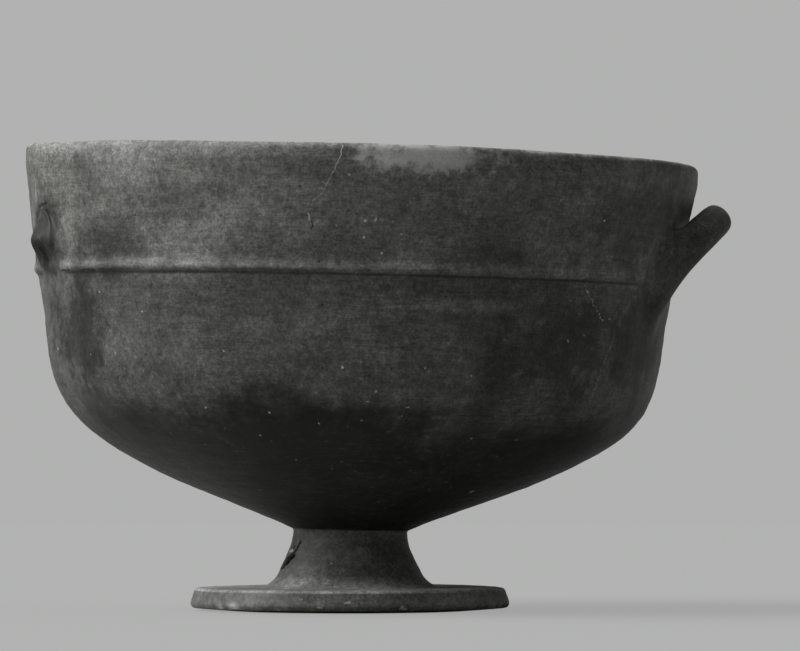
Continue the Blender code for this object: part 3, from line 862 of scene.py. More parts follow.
def tidy_mesh(mesh):
    """Merges what the union left doubled, and cuts every face into triangles."""
    bm = bmesh.new()
    bm.from_mesh(mesh)
    bmesh.ops.remove_doubles(bm, verts=bm.verts, dist=MERGE_DISTANCE)
    bmesh.ops.dissolve_degenerate(bm, dist=MERGE_DISTANCE, edges=bm.edges)
    bmesh.ops.triangulate(bm, faces=bm.faces)
    bmesh.ops.recalc_face_normals(bm, faces=bm.faces)
    bm.to_mesh(mesh)
    bm.free()


def mesh_places(mesh):
    """The mesh's vertices as an array of rows."""
    places = np.zeros(3 * len(mesh.vertices), np.float32)
    mesh.vertices.foreach_get("co", places)
    return places.reshape(-1, 3).astype(float)


def mesh_edges(mesh):
    """The two vertices of each edge."""
    ends = np.zeros(2 * len(mesh.edges), np.int32)
    mesh.edges.foreach_get("vertices", ends)
    return ends.reshape(-1, 2)


def seam_share(mesh, ends):
    """1 on vertices that touch both the wall and a handle, spread outwards, and 1 on the handles."""
    loops = np.zeros(len(mesh.loops), np.int32)
    mesh.loops.foreach_get("vertex_index", loops)
    kind = np.zeros(len(mesh.polygons), np.int32)
    mesh.polygons.foreach_get("material_index", kind)
    corners = np.zeros(len(mesh.polygons), np.int32)
    mesh.polygons.foreach_get("loop_total", corners)
    touch = np.zeros((2, len(mesh.vertices)), bool)
    owner = np.repeat(kind, corners)
    touch[0, loops[owner == 0]] = True
    touch[1, loops[owner == 1]] = True
    share_of = (touch[0] & touch[1]).astype(float)
    for _ in range(SEAM_ROUNDS):
        spread = share_of.copy()
        np.maximum.at(spread, ends[:, 0], SEAM_SPREAD * share_of[ends[:, 1]])
        np.maximum.at(spread, ends[:, 1], SEAM_SPREAD * share_of[ends[:, 0]])
        share_of = spread
    return share_of, touch[1]


def neighbour_total(values, ends):
    """The sum of the values of each vertex's neighbours along the edges."""
    total = np.zeros_like(values)
    np.add.at(total, ends[:, 0], values[ends[:, 1]])
    np.add.at(total, ends[:, 1], values[ends[:, 0]])
    return total


def smooth_seams(mesh):
    """Moves each vertex near a seam or on a stub towards the mean of its neighbours.

    It returns 1 on the handles and 0 on the wall, blended over the seam.
    """
    ends = mesh_edges(mesh)
    places = mesh_places(mesh)
    share_of, on_handle = seam_share(mesh, ends)
    share_of = np.maximum(share_of, STUB_PULL * on_handle * (places[:, 0] < 0.0))
    neighbours = np.maximum(np.bincount(ends.ravel(), minlength=len(places)), 1)
    handle_share = on_handle.astype(float)
    for _ in range(BLUR_ROUNDS):
        handle_share = 0.5 * (handle_share + neighbour_total(handle_share, ends) / neighbours)
    for _ in range(SEAM_ROUNDS):
        mean = neighbour_total(places, ends) / neighbours[:, None]
        places += SEAM_PULL * share_of[:, None] * (mean - places)
    mesh.vertices.foreach_set("co", places.astype(np.float32).ravel())
    mesh.update()
    return handle_share


def write_mask(mesh, name, values):
    """Keeps one number for each vertex under a name."""
    layer = mesh.attributes.new(name, "FLOAT", "POINT")
    layer.data.foreach_set("value", np.clip(values, 0.0, 1.0).astype(np.float32))


def write_finish_masks(s, mesh, handle_share):
    """Keeps what the clay's shader reads for each vertex.

    It is the upright place, and shares of wear on edges, with painted highlight on the ridge's crest
    and the foot's top, torn faces, chips, painted shade in the gash, the rolled handles, painted
    shade in the corner under the ridge and painted highlight on the crest over it.
    """
    settled = mesh_places(mesh)
    places = unsettle(s, settled)
    layer = mesh.attributes.new(UPRIGHT, "FLOAT_VECTOR", "POINT")
    layer.data.foreach_set("vector", places.astype(np.float32).ravel())
    radius = np.hypot(places[:, 0], places[:, 1])
    height = places[:, 2]
    on_wall = radius > wall_radius(s, height) - 2.0 * MM
    lip = smooth((height - s.rim + 5.0 * MM) / (5.0 * MM))
    ridge = bell((height - s.ridge - 0.4 * MM) / (1.1 * MM)) * on_wall * (radius < s.rim_radius)
    foot_top = bell((height - s.foot_height) / (1.2 * MM)) * bell((radius - s.foot_top_radius) / (2.0 * MM))
    foot_low = bell((height - s.foot_heel_height) / (1.2 * MM)) * bell((radius - s.foot_radius) / (2.0 * MM))
    # Worn lip and foot edge; the ridge and foot-top shares are painted highlight where those edges catch the
    # light.
    write_mask(mesh, WORN_AND_GLEAMING, np.maximum.reduce((0.8 * lip, 0.5 * ridge, 0.8 * foot_top, 0.6 * foot_low)))
    root = root_point(s, s.stub_span)
    aside = (np.abs(places[:, 1]) + root[1]) / (9.0 * MM)
    below = (height - root[2] - 0.5 * MM) / (7.0 * MM)
    torn = smooth(1.6 - np.hypot(aside, below)) * handle_share * (places[:, 0] < 0.0)
    write_mask(mesh, BROKEN, torn)
    write_mask(mesh, CHIPPED, smooth(1.4 * foot_chips(s, places) / s.chip_depth) * (height < s.foot_height))
    across, wide = gash_frame(s, places)
    on_stem = (height < s.junction) & (radius > 0.5 * s.neck_radius)
    gash = smooth(1.5 - np.abs(across) / np.maximum(wide, 0.05 * MM)) * (wide > 0.0) * on_stem
    # Painted shade: the gash's inside is drawn near black, as the hollow gets no light.
    write_mask(mesh, GASH_SHADE, gash)
    write_mask(mesh, ROLLED, handle_share)
    wall_only = on_wall * (1.0 - handle_share)
    # Painted shade: a dark line in the corner under the ridge, where the ridge casts its shadow.
    under_ridge = bell((height - s.ridge + 0.33 * s.ridge_width) / (0.15 * s.ridge_width))
    write_mask(mesh, SHADE_UNDER_RIDGE, under_ridge * wall_only)
    # Painted highlight: a pale band on the ridge's upper slope, where the light from above falls.
    over_ridge = bell((height - s.ridge - 0.30 * s.ridge_width) / (0.42 * s.ridge_width))
    write_mask(mesh, LIT_CREST, over_ridge * wall_only * (height > s.ridge - 0.2 * s.ridge_width))


class MakeBowl(Operator):
    """Make the vessel with its whole handle and its two broken roots as one closed mesh"""
    bl_idname = "bowl.make_bowl"
    bl_label = "Make the bowl"

    def execute(self, context):
        s = all_sizes(context.scene)
        bowl = mesh_object("fired_bowl", [turned_vessel(s)])
        handles = mesh_object("handles", [loop_handle(s), broken_stub(s, 1.0, s.hand_seed + 20),
                                          broken_stub(s, -1.0, s.hand_seed + 30)])
        unite(bowl, handles)
        tidy_mesh(bowl.data)
        handle_share = smooth_seams(bowl.data)
        write_finish_masks(s, bowl.data, handle_share)
        bowl.data.polygons.foreach_set("material_index", np.zeros(len(bowl.data.polygons), np.int32))
        bowl.data.materials.clear()
        bowl.data.materials.append(burnished_clay(s))
        bowl.data.shade_smooth()
        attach(bowl, BODY)
        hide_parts(NODE)
        return {"FINISHED"}


class Wires:
    """Adds nodes to one tree and joins them up."""

    def __init__(self, tree):
        self.tree = tree

    def node(self, kind, **settings):
        made = self.tree.nodes.new(kind)
        made.location = (180.0 * (len(self.tree.nodes) % 12), -220.0 * (len(self.tree.nodes) // 12))
        for name, value in settings.items():
            setattr(made, name, value)
        return made

    def put(self, socket, value):
        if isinstance(value, bpy.types.NodeSocket):
            self.tree.links.new(value, socket)
        elif value is not None:
            socket.default_value = value

    def maths(self, operation, first, second=None, clamp=False):
        made = self.node("ShaderNodeMath", operation=operation, use_clamp=clamp)
        for socket, value in zip(made.inputs, (first, second)):
            self.put(socket, value)
        return made.outputs[0]

    def plus(self, first, second):
        return self.maths("ADD", first, second)

    def minus(self, first, second):
        return self.maths("SUBTRACT", first, second)

    def times(self, first, second):
        return self.maths("MULTIPLY", first, second)

    def most(self, first, *others):
        for other in others:
            first = self.maths("MAXIMUM", first, other)
        return first

    def vector(self, operation, first, second=None, scale=None):
        made = self.node("ShaderNodeVectorMath", operation=operation)
        self.put(made.inputs[0], first)
        if second is not None:
            self.put(made.inputs[1], second)
        if scale is not None:
            self.put(made.inputs["Scale"], scale)
        number = operation in ("DOT_PRODUCT", "LENGTH", "DISTANCE")
        return made.outputs["Value" if number else "Vector"]

    def noise(self, vector, scale, detail=2.0, roughness=0.5):
        made = self.node("ShaderNodeTexNoise", noise_dimensions="3D")
        self.put(made.inputs["Vector"], vector)
        self.put(made.inputs["Scale"], scale)
        self.put(made.inputs["Detail"], detail)
        self.put(made.inputs["Roughness"], roughness)
        return made.outputs[0]

    def remap(self, value, low, high, to_low=0.0, to_high=1.0):
        made = self.node("ShaderNodeMapRange", interpolation_type="SMOOTHSTEP", clamp=True)
        for name, item in (("Value", value), ("From Min", low), ("From Max", high), ("To Min", to_low),
                           ("To Max", to_high)):
            self.put(made.inputs[name], item)
        return made.outputs[0]

    def blend(self, factor, first, second, mode="MIX"):
        made = self.node("ShaderNodeMix", data_type="RGBA", blend_type=mode, clamp_factor=True)
        self.put(made.inputs[0], factor)
        self.put(made.inputs[6], first)
        self.put(made.inputs[7], second)
        return made.outputs[2]

    def xyz(self, vector):
        made = self.node("ShaderNodeSeparateXYZ")
        self.put(made.inputs[0], vector)
        return made.outputs

    def attribute(self, name, output):
        made = self.node("ShaderNodeAttribute", attribute_name=name, attribute_type="GEOMETRY")
        return made.outputs[output]

    def group(self, tree, **values):
        made = self.node("ShaderNodeGroup", node_tree=tree)
        for name, value in values.items():
            self.put(made.inputs[name.replace("_", " ")], value)
        return made.outputs


def effect(name, inputs, outputs):
    """An empty node group with named sockets, and the wires to fill it."""
    tree = bpy.data.node_groups.new(name, "ShaderNodeTree")
    for label, kind, value in inputs:
        socket = tree.interface.new_socket(name=label, in_out="INPUT", socket_type="NodeSocket" + kind)
        if value is not None:
            socket.default_value = value
    for label in outputs:
        tree.interface.new_socket(name=label, in_out="OUTPUT", socket_type="NodeSocketFloat")
    wires = Wires(tree)
    return tree, wires, wires.node("NodeGroupInput").outputs, wires.node("NodeGroupOutput").inputs


def turning_lines_group():
    """Streaks that run round the vessel: noise squeezed along height plus radius."""
    tree, w, given, out = effect("Turning lines", (("Vector", "Vector", None), ("Length", "Float", 0.03),
                                                   ("Height", "Float", 0.001)), ("Lines",))
    x, y, z = w.xyz(given["Vector"])
    radius = w.maths("SQRT", w.plus(w.times(x, x), w.times(y, y)))
    rise = w.plus(z, radius)
    squeezed = w.node("ShaderNodeCombineXYZ")
    w.put(squeezed.inputs[0], w.maths("DIVIDE", x, given["Length"]))
    w.put(squeezed.inputs[1], w.maths("DIVIDE", y, given["Length"]))
    w.put(squeezed.inputs[2], w.maths("DIVIDE", rise, given["Height"]))
    w.put(out["Lines"], w.noise(squeezed.outputs[0], 1.0, 2.0, 0.6))
    return tree


def clay_grain_group():
    """Grit and pores of a given size: soft grain, pale specks and dark pits."""
    tree, w, given, out = effect("Clay grain", (("Vector", "Vector", None), ("Size", "Float", 0.001)),
                                 ("Grain", "Specks", "Pits"))
    scaled = w.vector("SCALE", given["Vector"], scale=w.maths("DIVIDE", 1.0, given["Size"]))
    w.put(out["Grain"], w.noise(scaled, 1.0, 3.0, 0.7))
    cells = w.node("ShaderNodeTexVoronoi", voronoi_dimensions="3D", feature="F1")
    w.put(cells.inputs["Vector"], scaled)
    w.put(cells.inputs["Scale"], 0.28)
    chosen = w.node("ShaderNodeSeparateColor")
    w.put(chosen.inputs[0], cells.outputs["Color"])
    dot = w.remap(cells.outputs["Distance"], 0.20, 0.08)
    w.put(out["Specks"], w.times(dot, w.remap(chosen.outputs[0], 0.95, 1.0)))
    w.put(out["Pits"], w.times(dot, w.remap(chosen.outputs[1], 0.86, 0.92)))
    return tree


def scratch_group():
    """A thin mark along a line on the front, which wanders a little and has gaps."""
    tree, w, given, out = effect("Scratch", (("Vector", "Vector", None), ("Start", "Vector", None),
                                             ("End", "Vector", None), ("Width", "Float", 0.0005),
                                             ("Gaps", "Float", 0.3)), ("Mask",))
    wobble = w.times(w.minus(w.noise(given["Vector"], 380.0, 2.0), 0.5), 3.0 * MM)
    shifted = w.node("ShaderNodeCombineXYZ")
    w.put(shifted.inputs[0], wobble)
    w.put(shifted.inputs[2], wobble)
    flat = w.vector("MULTIPLY", w.vector("ADD", given["Vector"], shifted.outputs[0]), (1.0, 0.0, 1.0))
    line = w.vector("SUBTRACT", given["End"], given["Start"])
    from_start = w.vector("SUBTRACT", flat, given["Start"])
    squared = w.most(w.vector("DOT_PRODUCT", line, line), 1e-9)
    along = w.maths("DIVIDE", w.vector("DOT_PRODUCT", from_start, line), squared, clamp=True)
    nearest = w.vector("SCALE", line, scale=along)
    distance = w.vector("DISTANCE", from_start, nearest)
    mark = w.remap(distance, given["Width"], w.times(given["Width"], 0.35))
    broken = w.remap(w.noise(given["Vector"], 900.0, 1.0), w.times(given["Gaps"], 1.2),
                     w.times(given["Gaps"], 0.8), 0.0, 1.0)
    kept = w.minus(1.0, broken)
    front = w.maths("LESS_THAN", w.xyz(given["Vector"])[1], 0.0)
    w.put(out["Mask"], w.times(w.times(mark, kept), front))
    return tree


def patch_group():
    """A soft ragged patch: distance from its centre over its reach, blurred by noise."""
    tree, w, given, out = effect("Front patch", (("Vector", "Vector", None), ("Centre", "Vector", None),
                                                     ("Reach", "Vector", (0.03, 0.03, 0.03)),
                                                     ("Ragged", "Float", 0.5), ("Scale", "Float", 60.0)),
                                 ("Mask",))
    offset = w.vector("DIVIDE", w.vector("SUBTRACT", given["Vector"], given["Centre"]), given["Reach"])
    lumps = w.minus(w.noise(given["Vector"], given["Scale"], 4.0, 0.65), 0.5)
    blur = w.times(lumps, w.times(given["Ragged"], 3.0))
    distance = w.plus(w.vector("LENGTH", offset), blur)
    w.put(out["Mask"], w.remap(distance, 1.25, 0.35))
    return tree


def edge_wear_and_gleam_group():
    """Wear on an edge, and painted highlight on the ridge's crest and the foot's top: its mask broken up by
    noise.
    """
    tree, w, given, out = effect("Edge wear and gleam", (("Vector", "Vector", None), ("Edge", "Float", 0.0),
                                               ("Amount", "Float", 0.5)), ("Mask",))
    lumps = w.noise(given["Vector"], 130.0, 4.0, 0.7)
    level = w.plus(w.times(given["Edge"], 0.8), w.minus(lumps, 0.5))
    low = w.minus(0.75, w.times(given["Amount"], 0.6))
    w.put(out["Mask"], w.remap(level, low, w.plus(low, 0.35)))
    return tree


# Marks on the front, as pixel places in the 800 by 651 photograph: start, end, width, gaps, strength
MARKS = (
    ((343, 145), (341, 154), 0.60 * MM, 0.2, 0.8),
    ((341, 154), (333, 172), 0.60 * MM, 0.3, 0.6),
    ((333, 172), (322, 193), 0.50 * MM, 0.4, 0.45),
    ((322, 193), (312, 201), 0.60 * MM, 0.3, 0.35),
    ((308, 214), (310, 219), 1.30 * MM, 0.35, 0.6),
    ((277, 610), (280, 610.5), 0.9 * MM, 0.3, 0.6),
    ((317, 608), (322, 608), 0.9 * MM, 0.2, 0.6),
    ((346, 603), (350, 602), 1.3 * MM, 0.2, 0.8),
    ((401, 608), (406, 609), 1.2 * MM, 0.2, 0.9),
    ((408, 611), (414, 610.5), 0.9 * MM, 0.2, 0.7),
    ((299, 599), (302, 599.5), 0.7 * MM, 0.2, 0.4),
    ((584, 286), (603, 321), 0.55 * MM, 0.48, 0.7),
    ((529, 171), (553, 212), 0.35 * MM, 0.4, 0.25),
    ((614, 335), (590, 405), 0.35 * MM, 0.4, 0.25),
    ((380, 590), (394, 572), 0.45 * MM, 0.3, 0.4),
    ((370, 597), (384, 580), 0.40 * MM, 0.3, 0.35),
    ((395, 570), (401, 563), 0.40 * MM, 0.3, 0.3),
    ((375, 219), (376, 220), 1.0 * MM, 0.0, 0.8),
    ((224, 350), (224, 351), 0.8 * MM, 0.0, 0.9),
    ((319, 423), (319, 424), 0.9 * MM, 0.0, 1.0),
    ((375, 392), (376, 392), 0.9 * MM, 0.0, 0.7),
    ((366, 402), (368, 402), 0.9 * MM, 0.0, 0.6),
    ((407, 407), (409, 407), 1.0 * MM, 0.0, 0.6),
    ((401, 416), (401, 417), 0.7 * MM, 0.0, 0.7),
    ((470, 492), (473, 491), 0.9 * MM, 0.0, 0.8),
    ((567, 341), (567, 343), 0.9 * MM, 0.0, 0.7),
    ((584, 335), (585, 336), 0.9 * MM, 0.0, 0.5),
    ((608, 320), (609, 320), 0.9 * MM, 0.0, 0.7),
    ((291, 551), (293, 550), 1.5 * MM, 0.2, 0.8),
    ((375, 591), (380, 586), 0.5 * MM, 0.3, 0.3),
    ((163, 225), (163, 226), 0.6 * MM, 0.0, 0.6),
    ((207, 250), (207, 251), 0.6 * MM, 0.0, 0.7),
)

# Short dark lines on the front, given like the marks; most are painted shadow: the gash's near edge, the
# notch over the left stub, the ridge's underside and a turning groove
DARK_AND_SHADOW_MARKS = (
    ((312, 221), (312, 228), 0.8 * MM, 0.1, 0.9),
    # Painted shadow of the gash's near edge.
    ((293, 549), (295, 546), 1.0 * MM, 0.1, 0.8),
    # Painted shade in the notch over the left stub.
    ((40, 206), (46, 203), 2.4 * MM, 0.2, 0.9),
    # Painted shadow under the ridge, beside the left stub.
    ((63, 270), (69, 270), 1.3 * MM, 0.1, 0.9),
    ((82, 270), (95, 270), 1.2 * MM, 0.2, 0.9),
    # Painted shade in a turning groove below the ridge.
    ((436, 292), (510, 293), 0.7 * MM, 0.4, 0.6),
)

# Patches on the front, among them painted highlight and painted shade: pixel place, reach across and up in
# pixels, raggedness, strength, lump scale
PALE_AND_LIT_PATCHES = (
    ((120, 155), (40, 30), 0.5, 0.42, 60.0),
    # Painted highlight along the lip's top, where it catches the light from the upper left.
    ((60, 146), (60, 8), 0.5, 0.35, 60.0),
    ((220, 148), (130, 9), 0.5, 0.32, 60.0),
    ((420, 156), (60, 17), 0.8, 0.8, 60.0),
    ((405, 398), (60, 9), 0.8, 0.12, 60.0),
    # Painted light on the foot's shaded right side.
    ((470, 602), (60, 16), 0.9, 0.6, 60.0),
    ((250, 220), (150, 60), 0.7, 0.16, 60.0),
    # Painted highlight: the lit edge of a turning groove below the ridge.
    ((470, 306), (60, 8), 0.8, 0.25, 60.0),
)
DARK_AND_SHADED_PATCHES = (
    # Painted shade on the left stub's flank, which faces away from the light.
    ((46, 238), (26, 46), 0.6, 0.9, 60.0),
    ((92, 168), (22, 16), 0.6, 0.45, 60.0),
    ((112, 256), (54, 40), 0.7, 0.72, 60.0),
    ((80, 330), (40, 76), 0.8, 0.85, 60.0),
    ((180, 205), (48, 28), 0.8, 0.65, 60.0),
    # Painted shade on the bowl's right side, away from the light.
    ((560, 340), (130, 66), 0.8, 0.6, 60.0),
    ((640, 340), (56, 76), 0.6, 0.8, 60.0),
    ((640, 220), (54, 54), 0.8, 0.45, 60.0),
    # Painted shade: the band under the belly, which faces down.
    ((300, 448), (260, 70), 0.35, 1.0, 60.0),
)
BARE_PATCHES = (
    ((422, 155), (60, 16), 1.3, 0.6, 170.0),
)

# How much each pattern changes the clay's tone: lowest and highest value read, and the tones there
MOTTLE_TONE = (0.30, 0.70, 0.74, 1.26)
CLOUD_TONE = (0.3, 0.7, 0.84, 1.16)
FINE_LINE_TONE = (-0.22, 0.22, 0.80, 1.20)
BROAD_LINE_TONE = (-0.22, 0.22, 0.86, 1.14)
GRAIN_TONE = (0.30, 0.70, 0.68, 1.32)
COARSE_TONE = (0.34, 0.66, 0.76, 1.24)


def front_place(s, across, down):
    """The upright place on the vessel's front that a pixel of the 800 by 651 frame shows.

    The pixel's ray leaves the camera and is cut with the wall's circle at the ray's own height,
    again and again until it stays.
    """
    focal = s.lens / SENSOR * IMAGE_WIDTH
    side = (across - 0.5 * IMAGE_WIDTH) / focal
    rise = (0.5 * IMAGE_HEIGHT - down) / focal
    ray = np.array((side, math.cos(s.camera_pitch) - rise * math.sin(s.camera_pitch),
                    math.sin(s.camera_pitch) + rise * math.cos(s.camera_pitch)))
    eye = np.array((s.axis + s.camera_side, -s.camera_distance, s.camera_height))
    depth = 0.0
    for _ in range(SETTLING_ROUNDS):
        place = unsettle(s, (eye + ray * (s.camera_distance + depth) / ray[1])[None, :])[0]
        radius = outer_radius(s, place[2])
        depth = -math.sqrt(max(radius ** 2 - place[0] ** 2, 0.0))
    return place


def outer_radius(s, height):
    """Radius of the outside at any height, from the foot up."""
    if height > s.cone_start:
        return float(wall_radius(s, height))
    if height > s.stem_base:
        return float(stem_radius(s, height))
    return s.foot_radius


def burnished_clay(s):
    """Dark burnished clay: streaked round, mottled, grained, pale where weathered or worn, with painted shade
    under the bowl, under the ridge, on the right side and in the gash, and painted highlight on the ridge's
    crest, the lip's top and the foot.
    """
    material, w, shader, _ = new_material("burnished_clay")
    place = w.attribute(UPRIGHT, "Vector")
    lines, grain_of, scratch, patch, wear = (turning_lines_group(), clay_grain_group(), scratch_group(),
                                             patch_group(), edge_wear_and_gleam_group())
    fine_lines = w.group(lines, Vector=place, Length=0.007, Height=0.0007)["Lines"]
    broad_lines = w.group(lines, Vector=place, Length=0.035, Height=0.0035)["Lines"]
    rolled = w.attribute(ROLLED, "Fac")
    turned = w.minus(1.0, rolled)
    up = w.xyz(place)[2]
    turned = w.times(turned, w.remap(up, s.stem_base, s.cone_end, 0.35, 1.0))
    turned = w.times(turned, w.remap(w.noise(place, 22.0, 2.0), 0.35, 0.6, 0.35, 1.0))
    fine_lines = w.times(w.minus(fine_lines, 0.5), turned)
    broad_lines = w.times(w.minus(broad_lines, 0.5), turned)
    grain = w.group(grain_of, Vector=place, Size=0.0011)
    coarse = w.group(grain_of, Vector=place, Size=0.0030)
    mottle = w.noise(place, 60.0, 5.0, 0.65)
    cloud = w.noise(place, 14.0, 3.0, 0.5)

    tone = w.remap(mottle, *MOTTLE_TONE)
    patterns = ((cloud, CLOUD_TONE), (fine_lines, FINE_LINE_TONE), (broad_lines, BROAD_LINE_TONE),
                (grain["Grain"], GRAIN_TONE), (coarse["Grain"], COARSE_TONE))
    for pattern, reading in patterns:
        tone = w.times(tone, w.remap(pattern, *reading))
    pale = w.remap(coarse["Grain"], 0.62, 0.8, 0.0, 0.25)
    # Painted highlight: the foot's top made pale, as the bright backdrop gleams on it.
    low = w.remap(up, s.stem_base, s.foot_height, 0.0, 1.0)
    on_top = w.remap(up, s.foot_height - 1.6 * MM, s.foot_height - 0.8 * MM)
    pale = w.most(pale, w.times(low, on_top))
    # Painted highlight on the ridge's upper slope.
    pale = w.most(pale, w.times(w.attribute(LIT_CREST, "Fac"), 0.24))
    # Pale patches, some of them painted highlight.
    for spot in PALE_AND_LIT_PATCHES:
        pale = w.most(pale, weathered(s, w, patch, place, spot))
    rise = w.plus(up, w.times(w.minus(cloud, 0.5), 0.09))
    on_bowl = w.remap(up, s.junction - 1.0 * MM, s.junction)
    # Painted shade: the underside and lower belly, which face down, darken towards the bottom.
    under = w.times(w.remap(rise, 0.86 * s.belly_top, 0.60 * s.belly_top), on_bowl)
    dark = w.most(w.times(under, 0.95), w.times(rolled, 0.5))
    # Painted shade under the ridge.
    dark = w.most(dark, w.times(w.attribute(SHADE_UNDER_RIDGE, "Fac"), 0.9))
    below_ridge = w.times(w.remap(rise, 1.04 * s.ridge, 0.97 * s.ridge, 0.0, 0.4), on_bowl)
    dark = w.most(dark, below_ridge)
    # Dark patches, several of them painted shade.
    for spot in DARK_AND_SHADED_PATCHES:
        dark = w.most(dark, weathered(s, w, patch, place, spot))
    # Edge wear, with painted highlight on the ridge's crest and the foot's top.
    edge = w.group(wear, Vector=place, Edge=w.attribute(WORN_AND_GLEAMING, "Fac"), Amount=0.6)["Mask"]
    chipped = w.most(grain["Specks"], w.attribute(CHIPPED, "Fac"))
    bare = chipped
    for mark in MARKS:
        bare = w.most(bare, marked(s, w, scratch, place, mark))
    for spot in BARE_PATCHES:
        bare = w.most(bare, weathered(s, w, patch, place, spot))
    # Dark pits, and dark lines that are mostly painted shadow.
    pits_and_shadow_lines = w.times(grain["Pits"], 0.7)
    for mark in DARK_AND_SHADOW_MARKS:
        pits_and_shadow_lines = w.most(pits_and_shadow_lines, marked(s, w, scratch, place, mark))

    # The dark tone covers smoke stains and painted shade: under the bowl, under the ridge and on the shaded
    # right side.
    colour = w.blend(dark, (*s.clay, 1.0), (*s.smoke, 1.0))
    # Pale film and wear, with painted highlight where the masks above say so.
    colour = w.blend(w.most(pale, w.times(edge, 0.7)), colour, (*s.bloom, 1.0))
    shade = w.node("ShaderNodeCombineColor")
    for socket in shade.inputs:
        w.put(socket, tone)
    colour = w.blend(1.0, colour, shade.outputs[0], "MULTIPLY")
    colour = w.blend(pits_and_shadow_lines, colour, (*(0.5 * c for c in s.smoke), 1.0))
    colour = w.blend(w.times(w.attribute(BROKEN, "Fac"), 0.7), colour, (*s.smoke, 1.0))
    colour = w.blend(bare, colour, (*s.fresh, 1.0))
    # Painted shade inside the gash.
    colour = w.blend(w.attribute(GASH_SHADE, "Fac"), colour, (*(0.25 * c for c in s.smoke), 1.0))
    w.put(shader.inputs["Base Color"], colour)

    rough = w.most(bare, w.attribute(BROKEN, "Fac"))
    rough = w.most(w.most(pale, edge), rough)
    rough = w.remap(rough, 0.0, 1.0, s.roughness, s.rough_clay)
    w.put(shader.inputs["Roughness"], w.plus(rough, w.remap(grain["Grain"], 0.3, 0.7, -0.08, 0.08)))
    shader.inputs["Specular IOR Level"].default_value = s.sheen_level

    height = w.plus(w.times(fine_lines, 0.3), w.times(grain["Grain"], 0.7))
    height = w.plus(height, w.times(coarse["Grain"], 0.9))
    height = w.minus(height, w.times(grain["Pits"], 1.2))
    height = w.minus(height, w.times(chipped, 0.8))
    bump = w.node("ShaderNodeBump")
    bump.inputs["Strength"].default_value = 0.6
    bump.inputs["Distance"].default_value = 0.12 * MM
    w.put(bump.inputs["Height"], height)
    w.put(shader.inputs["Normal"], bump.outputs[0])
    return material


def marked(s, w, scratch, place, mark):
    """One mark of the front, as its row in a table of marks says."""
    start, end, width, gaps, strength = mark
    ends = [front_place(s, *pixel) * np.array((1.0, 0.0, 1.0)) for pixel in (start, end)]
    mask = w.group(scratch, Vector=place, Start=tuple(ends[0]), End=tuple(ends[1]), Width=0.5 * width,
                   Gaps=gaps)["Mask"]
    return w.times(mask, strength)


def weathered(s, w, patch, place, spot):
    """One patch of the front, as its row in a table of patches says; the tables hold weathering, bare clay,
    painted highlight and painted shade.
    """
    (across, down), (reach_x, reach_y), ragged, strength, lumps = spot
    pixel = s.camera_distance * SENSOR / (s.lens * IMAGE_WIDTH)
    centre = front_place(s, across, down)
    reach = (reach_x * pixel, max(reach_x * pixel, PATCH_DEPTH), reach_y * pixel)
    mask = w.group(patch, Vector=place, Centre=tuple(centre), Reach=reach, Ragged=ragged, Scale=lumps)["Mask"]
    return w.times(mask, strength)


def new_material(name):
    """A material with nodes, the wires to fill its tree, its own shader and its output."""
    material = bpy.data.materials.new(name)
    material.use_nodes = True
    nodes = material.node_tree.nodes
    return material, Wires(material.node_tree), nodes["Principled BSDF"], nodes["Material Output"]


class MakeStage(Operator):
    """Make the pale floor, the soft side light, the backdrop's tone and the camera"""
    bl_idname = "bowl.make_stage"
    bl_label = "Make the stage"

    def execute(self, context):
        s = all_sizes(context.scene)
        make_floor(s)
        make_wall(s)
        make_light(s)
        make_world(s, context.scene)
        make_camera(s, context.scene)
        return {"FINISHED"}


def make_floor(s):
    """A flat disc under the foot: radius × (cos, sin) of the angle; its far part has the backdrop's tone."""
    angle = np.linspace(0.0, 2.0 * math.pi, FLOOR_STEPS, endpoint=False)
    rings = np.array((*FLOOR_RINGS, s.floor_radius))
    grid = np.stack((rings[:, None] * np.cos(angle), rings[:, None] * np.sin(angle),
                     np.zeros((len(rings), len(angle)))), axis=2)
    points = np.vstack((grid.reshape(-1, 3), (0.0, 0.0, 0.0)))
    here = np.arange(len(angle))
    middle = np.column_stack((here, np.roll(here, -1), np.full(len(angle), len(points) - 1)))
    mesh = bpy.data.meshes.new("floor")
    mesh.from_pydata(points, [], tube_faces(len(rings), len(angle))[:, ::-1].tolist() + middle.tolist())
    floor = placed("floor", mesh)
    material, w, shader, output = new_material("pale_floor")
    shader.inputs["Base Color"].default_value = (*s.floor, 1.0)
    shader.inputs["Roughness"].default_value = 0.9
    shader.inputs["Specular IOR Level"].default_value = 0.1
    glow = w.node("ShaderNodeEmission")
    glow.inputs["Color"].default_value = (*s.backdrop, 1.0)
    distance = w.vector("LENGTH", w.node("ShaderNodeTexCoord").outputs["Object"])
    mixed = w.node("ShaderNodeMixShader")
    seen = w.node("ShaderNodeLightPath").outputs["Is Camera Ray"]
    w.put(mixed.inputs[0], w.most(w.remap(distance, s.lit_radius, s.faded_radius),
                                  w.times(seen, s.floor_fill)))
    w.put(mixed.inputs[1], shader.outputs[0])
    w.put(mixed.inputs[2], glow.outputs[0])
    w.put(output.inputs["Surface"], mixed.outputs[0])
    mesh.materials.append(material)


def make_wall(s):
    """A bright wall behind the bowl, which shows only as a gleam on edges that turn away."""
    half = 0.5 * s.wall_width
    corners = ((-half, 0.0, 0.0), (half, 0.0, 0.0), (half, 0.0, s.wall_height), (-half, 0.0, s.wall_height))
    mesh = bpy.data.meshes.new("wall")
    mesh.from_pydata(corners, [], [(0, 1, 2, 3)])
    wall = placed("wall", mesh)
    wall.location = (0.0, s.wall_distance, 0.0)
    wall.visible_camera = False
    wall.visible_shadow = False
    material, w, _, output = new_material("bright_wall")
    glow = w.node("ShaderNodeEmission")
    glow.inputs["Color"].default_value = (*s.backdrop, 1.0)
    w.put(output.inputs["Surface"], glow.outputs[0])
    mesh.materials.append(material)


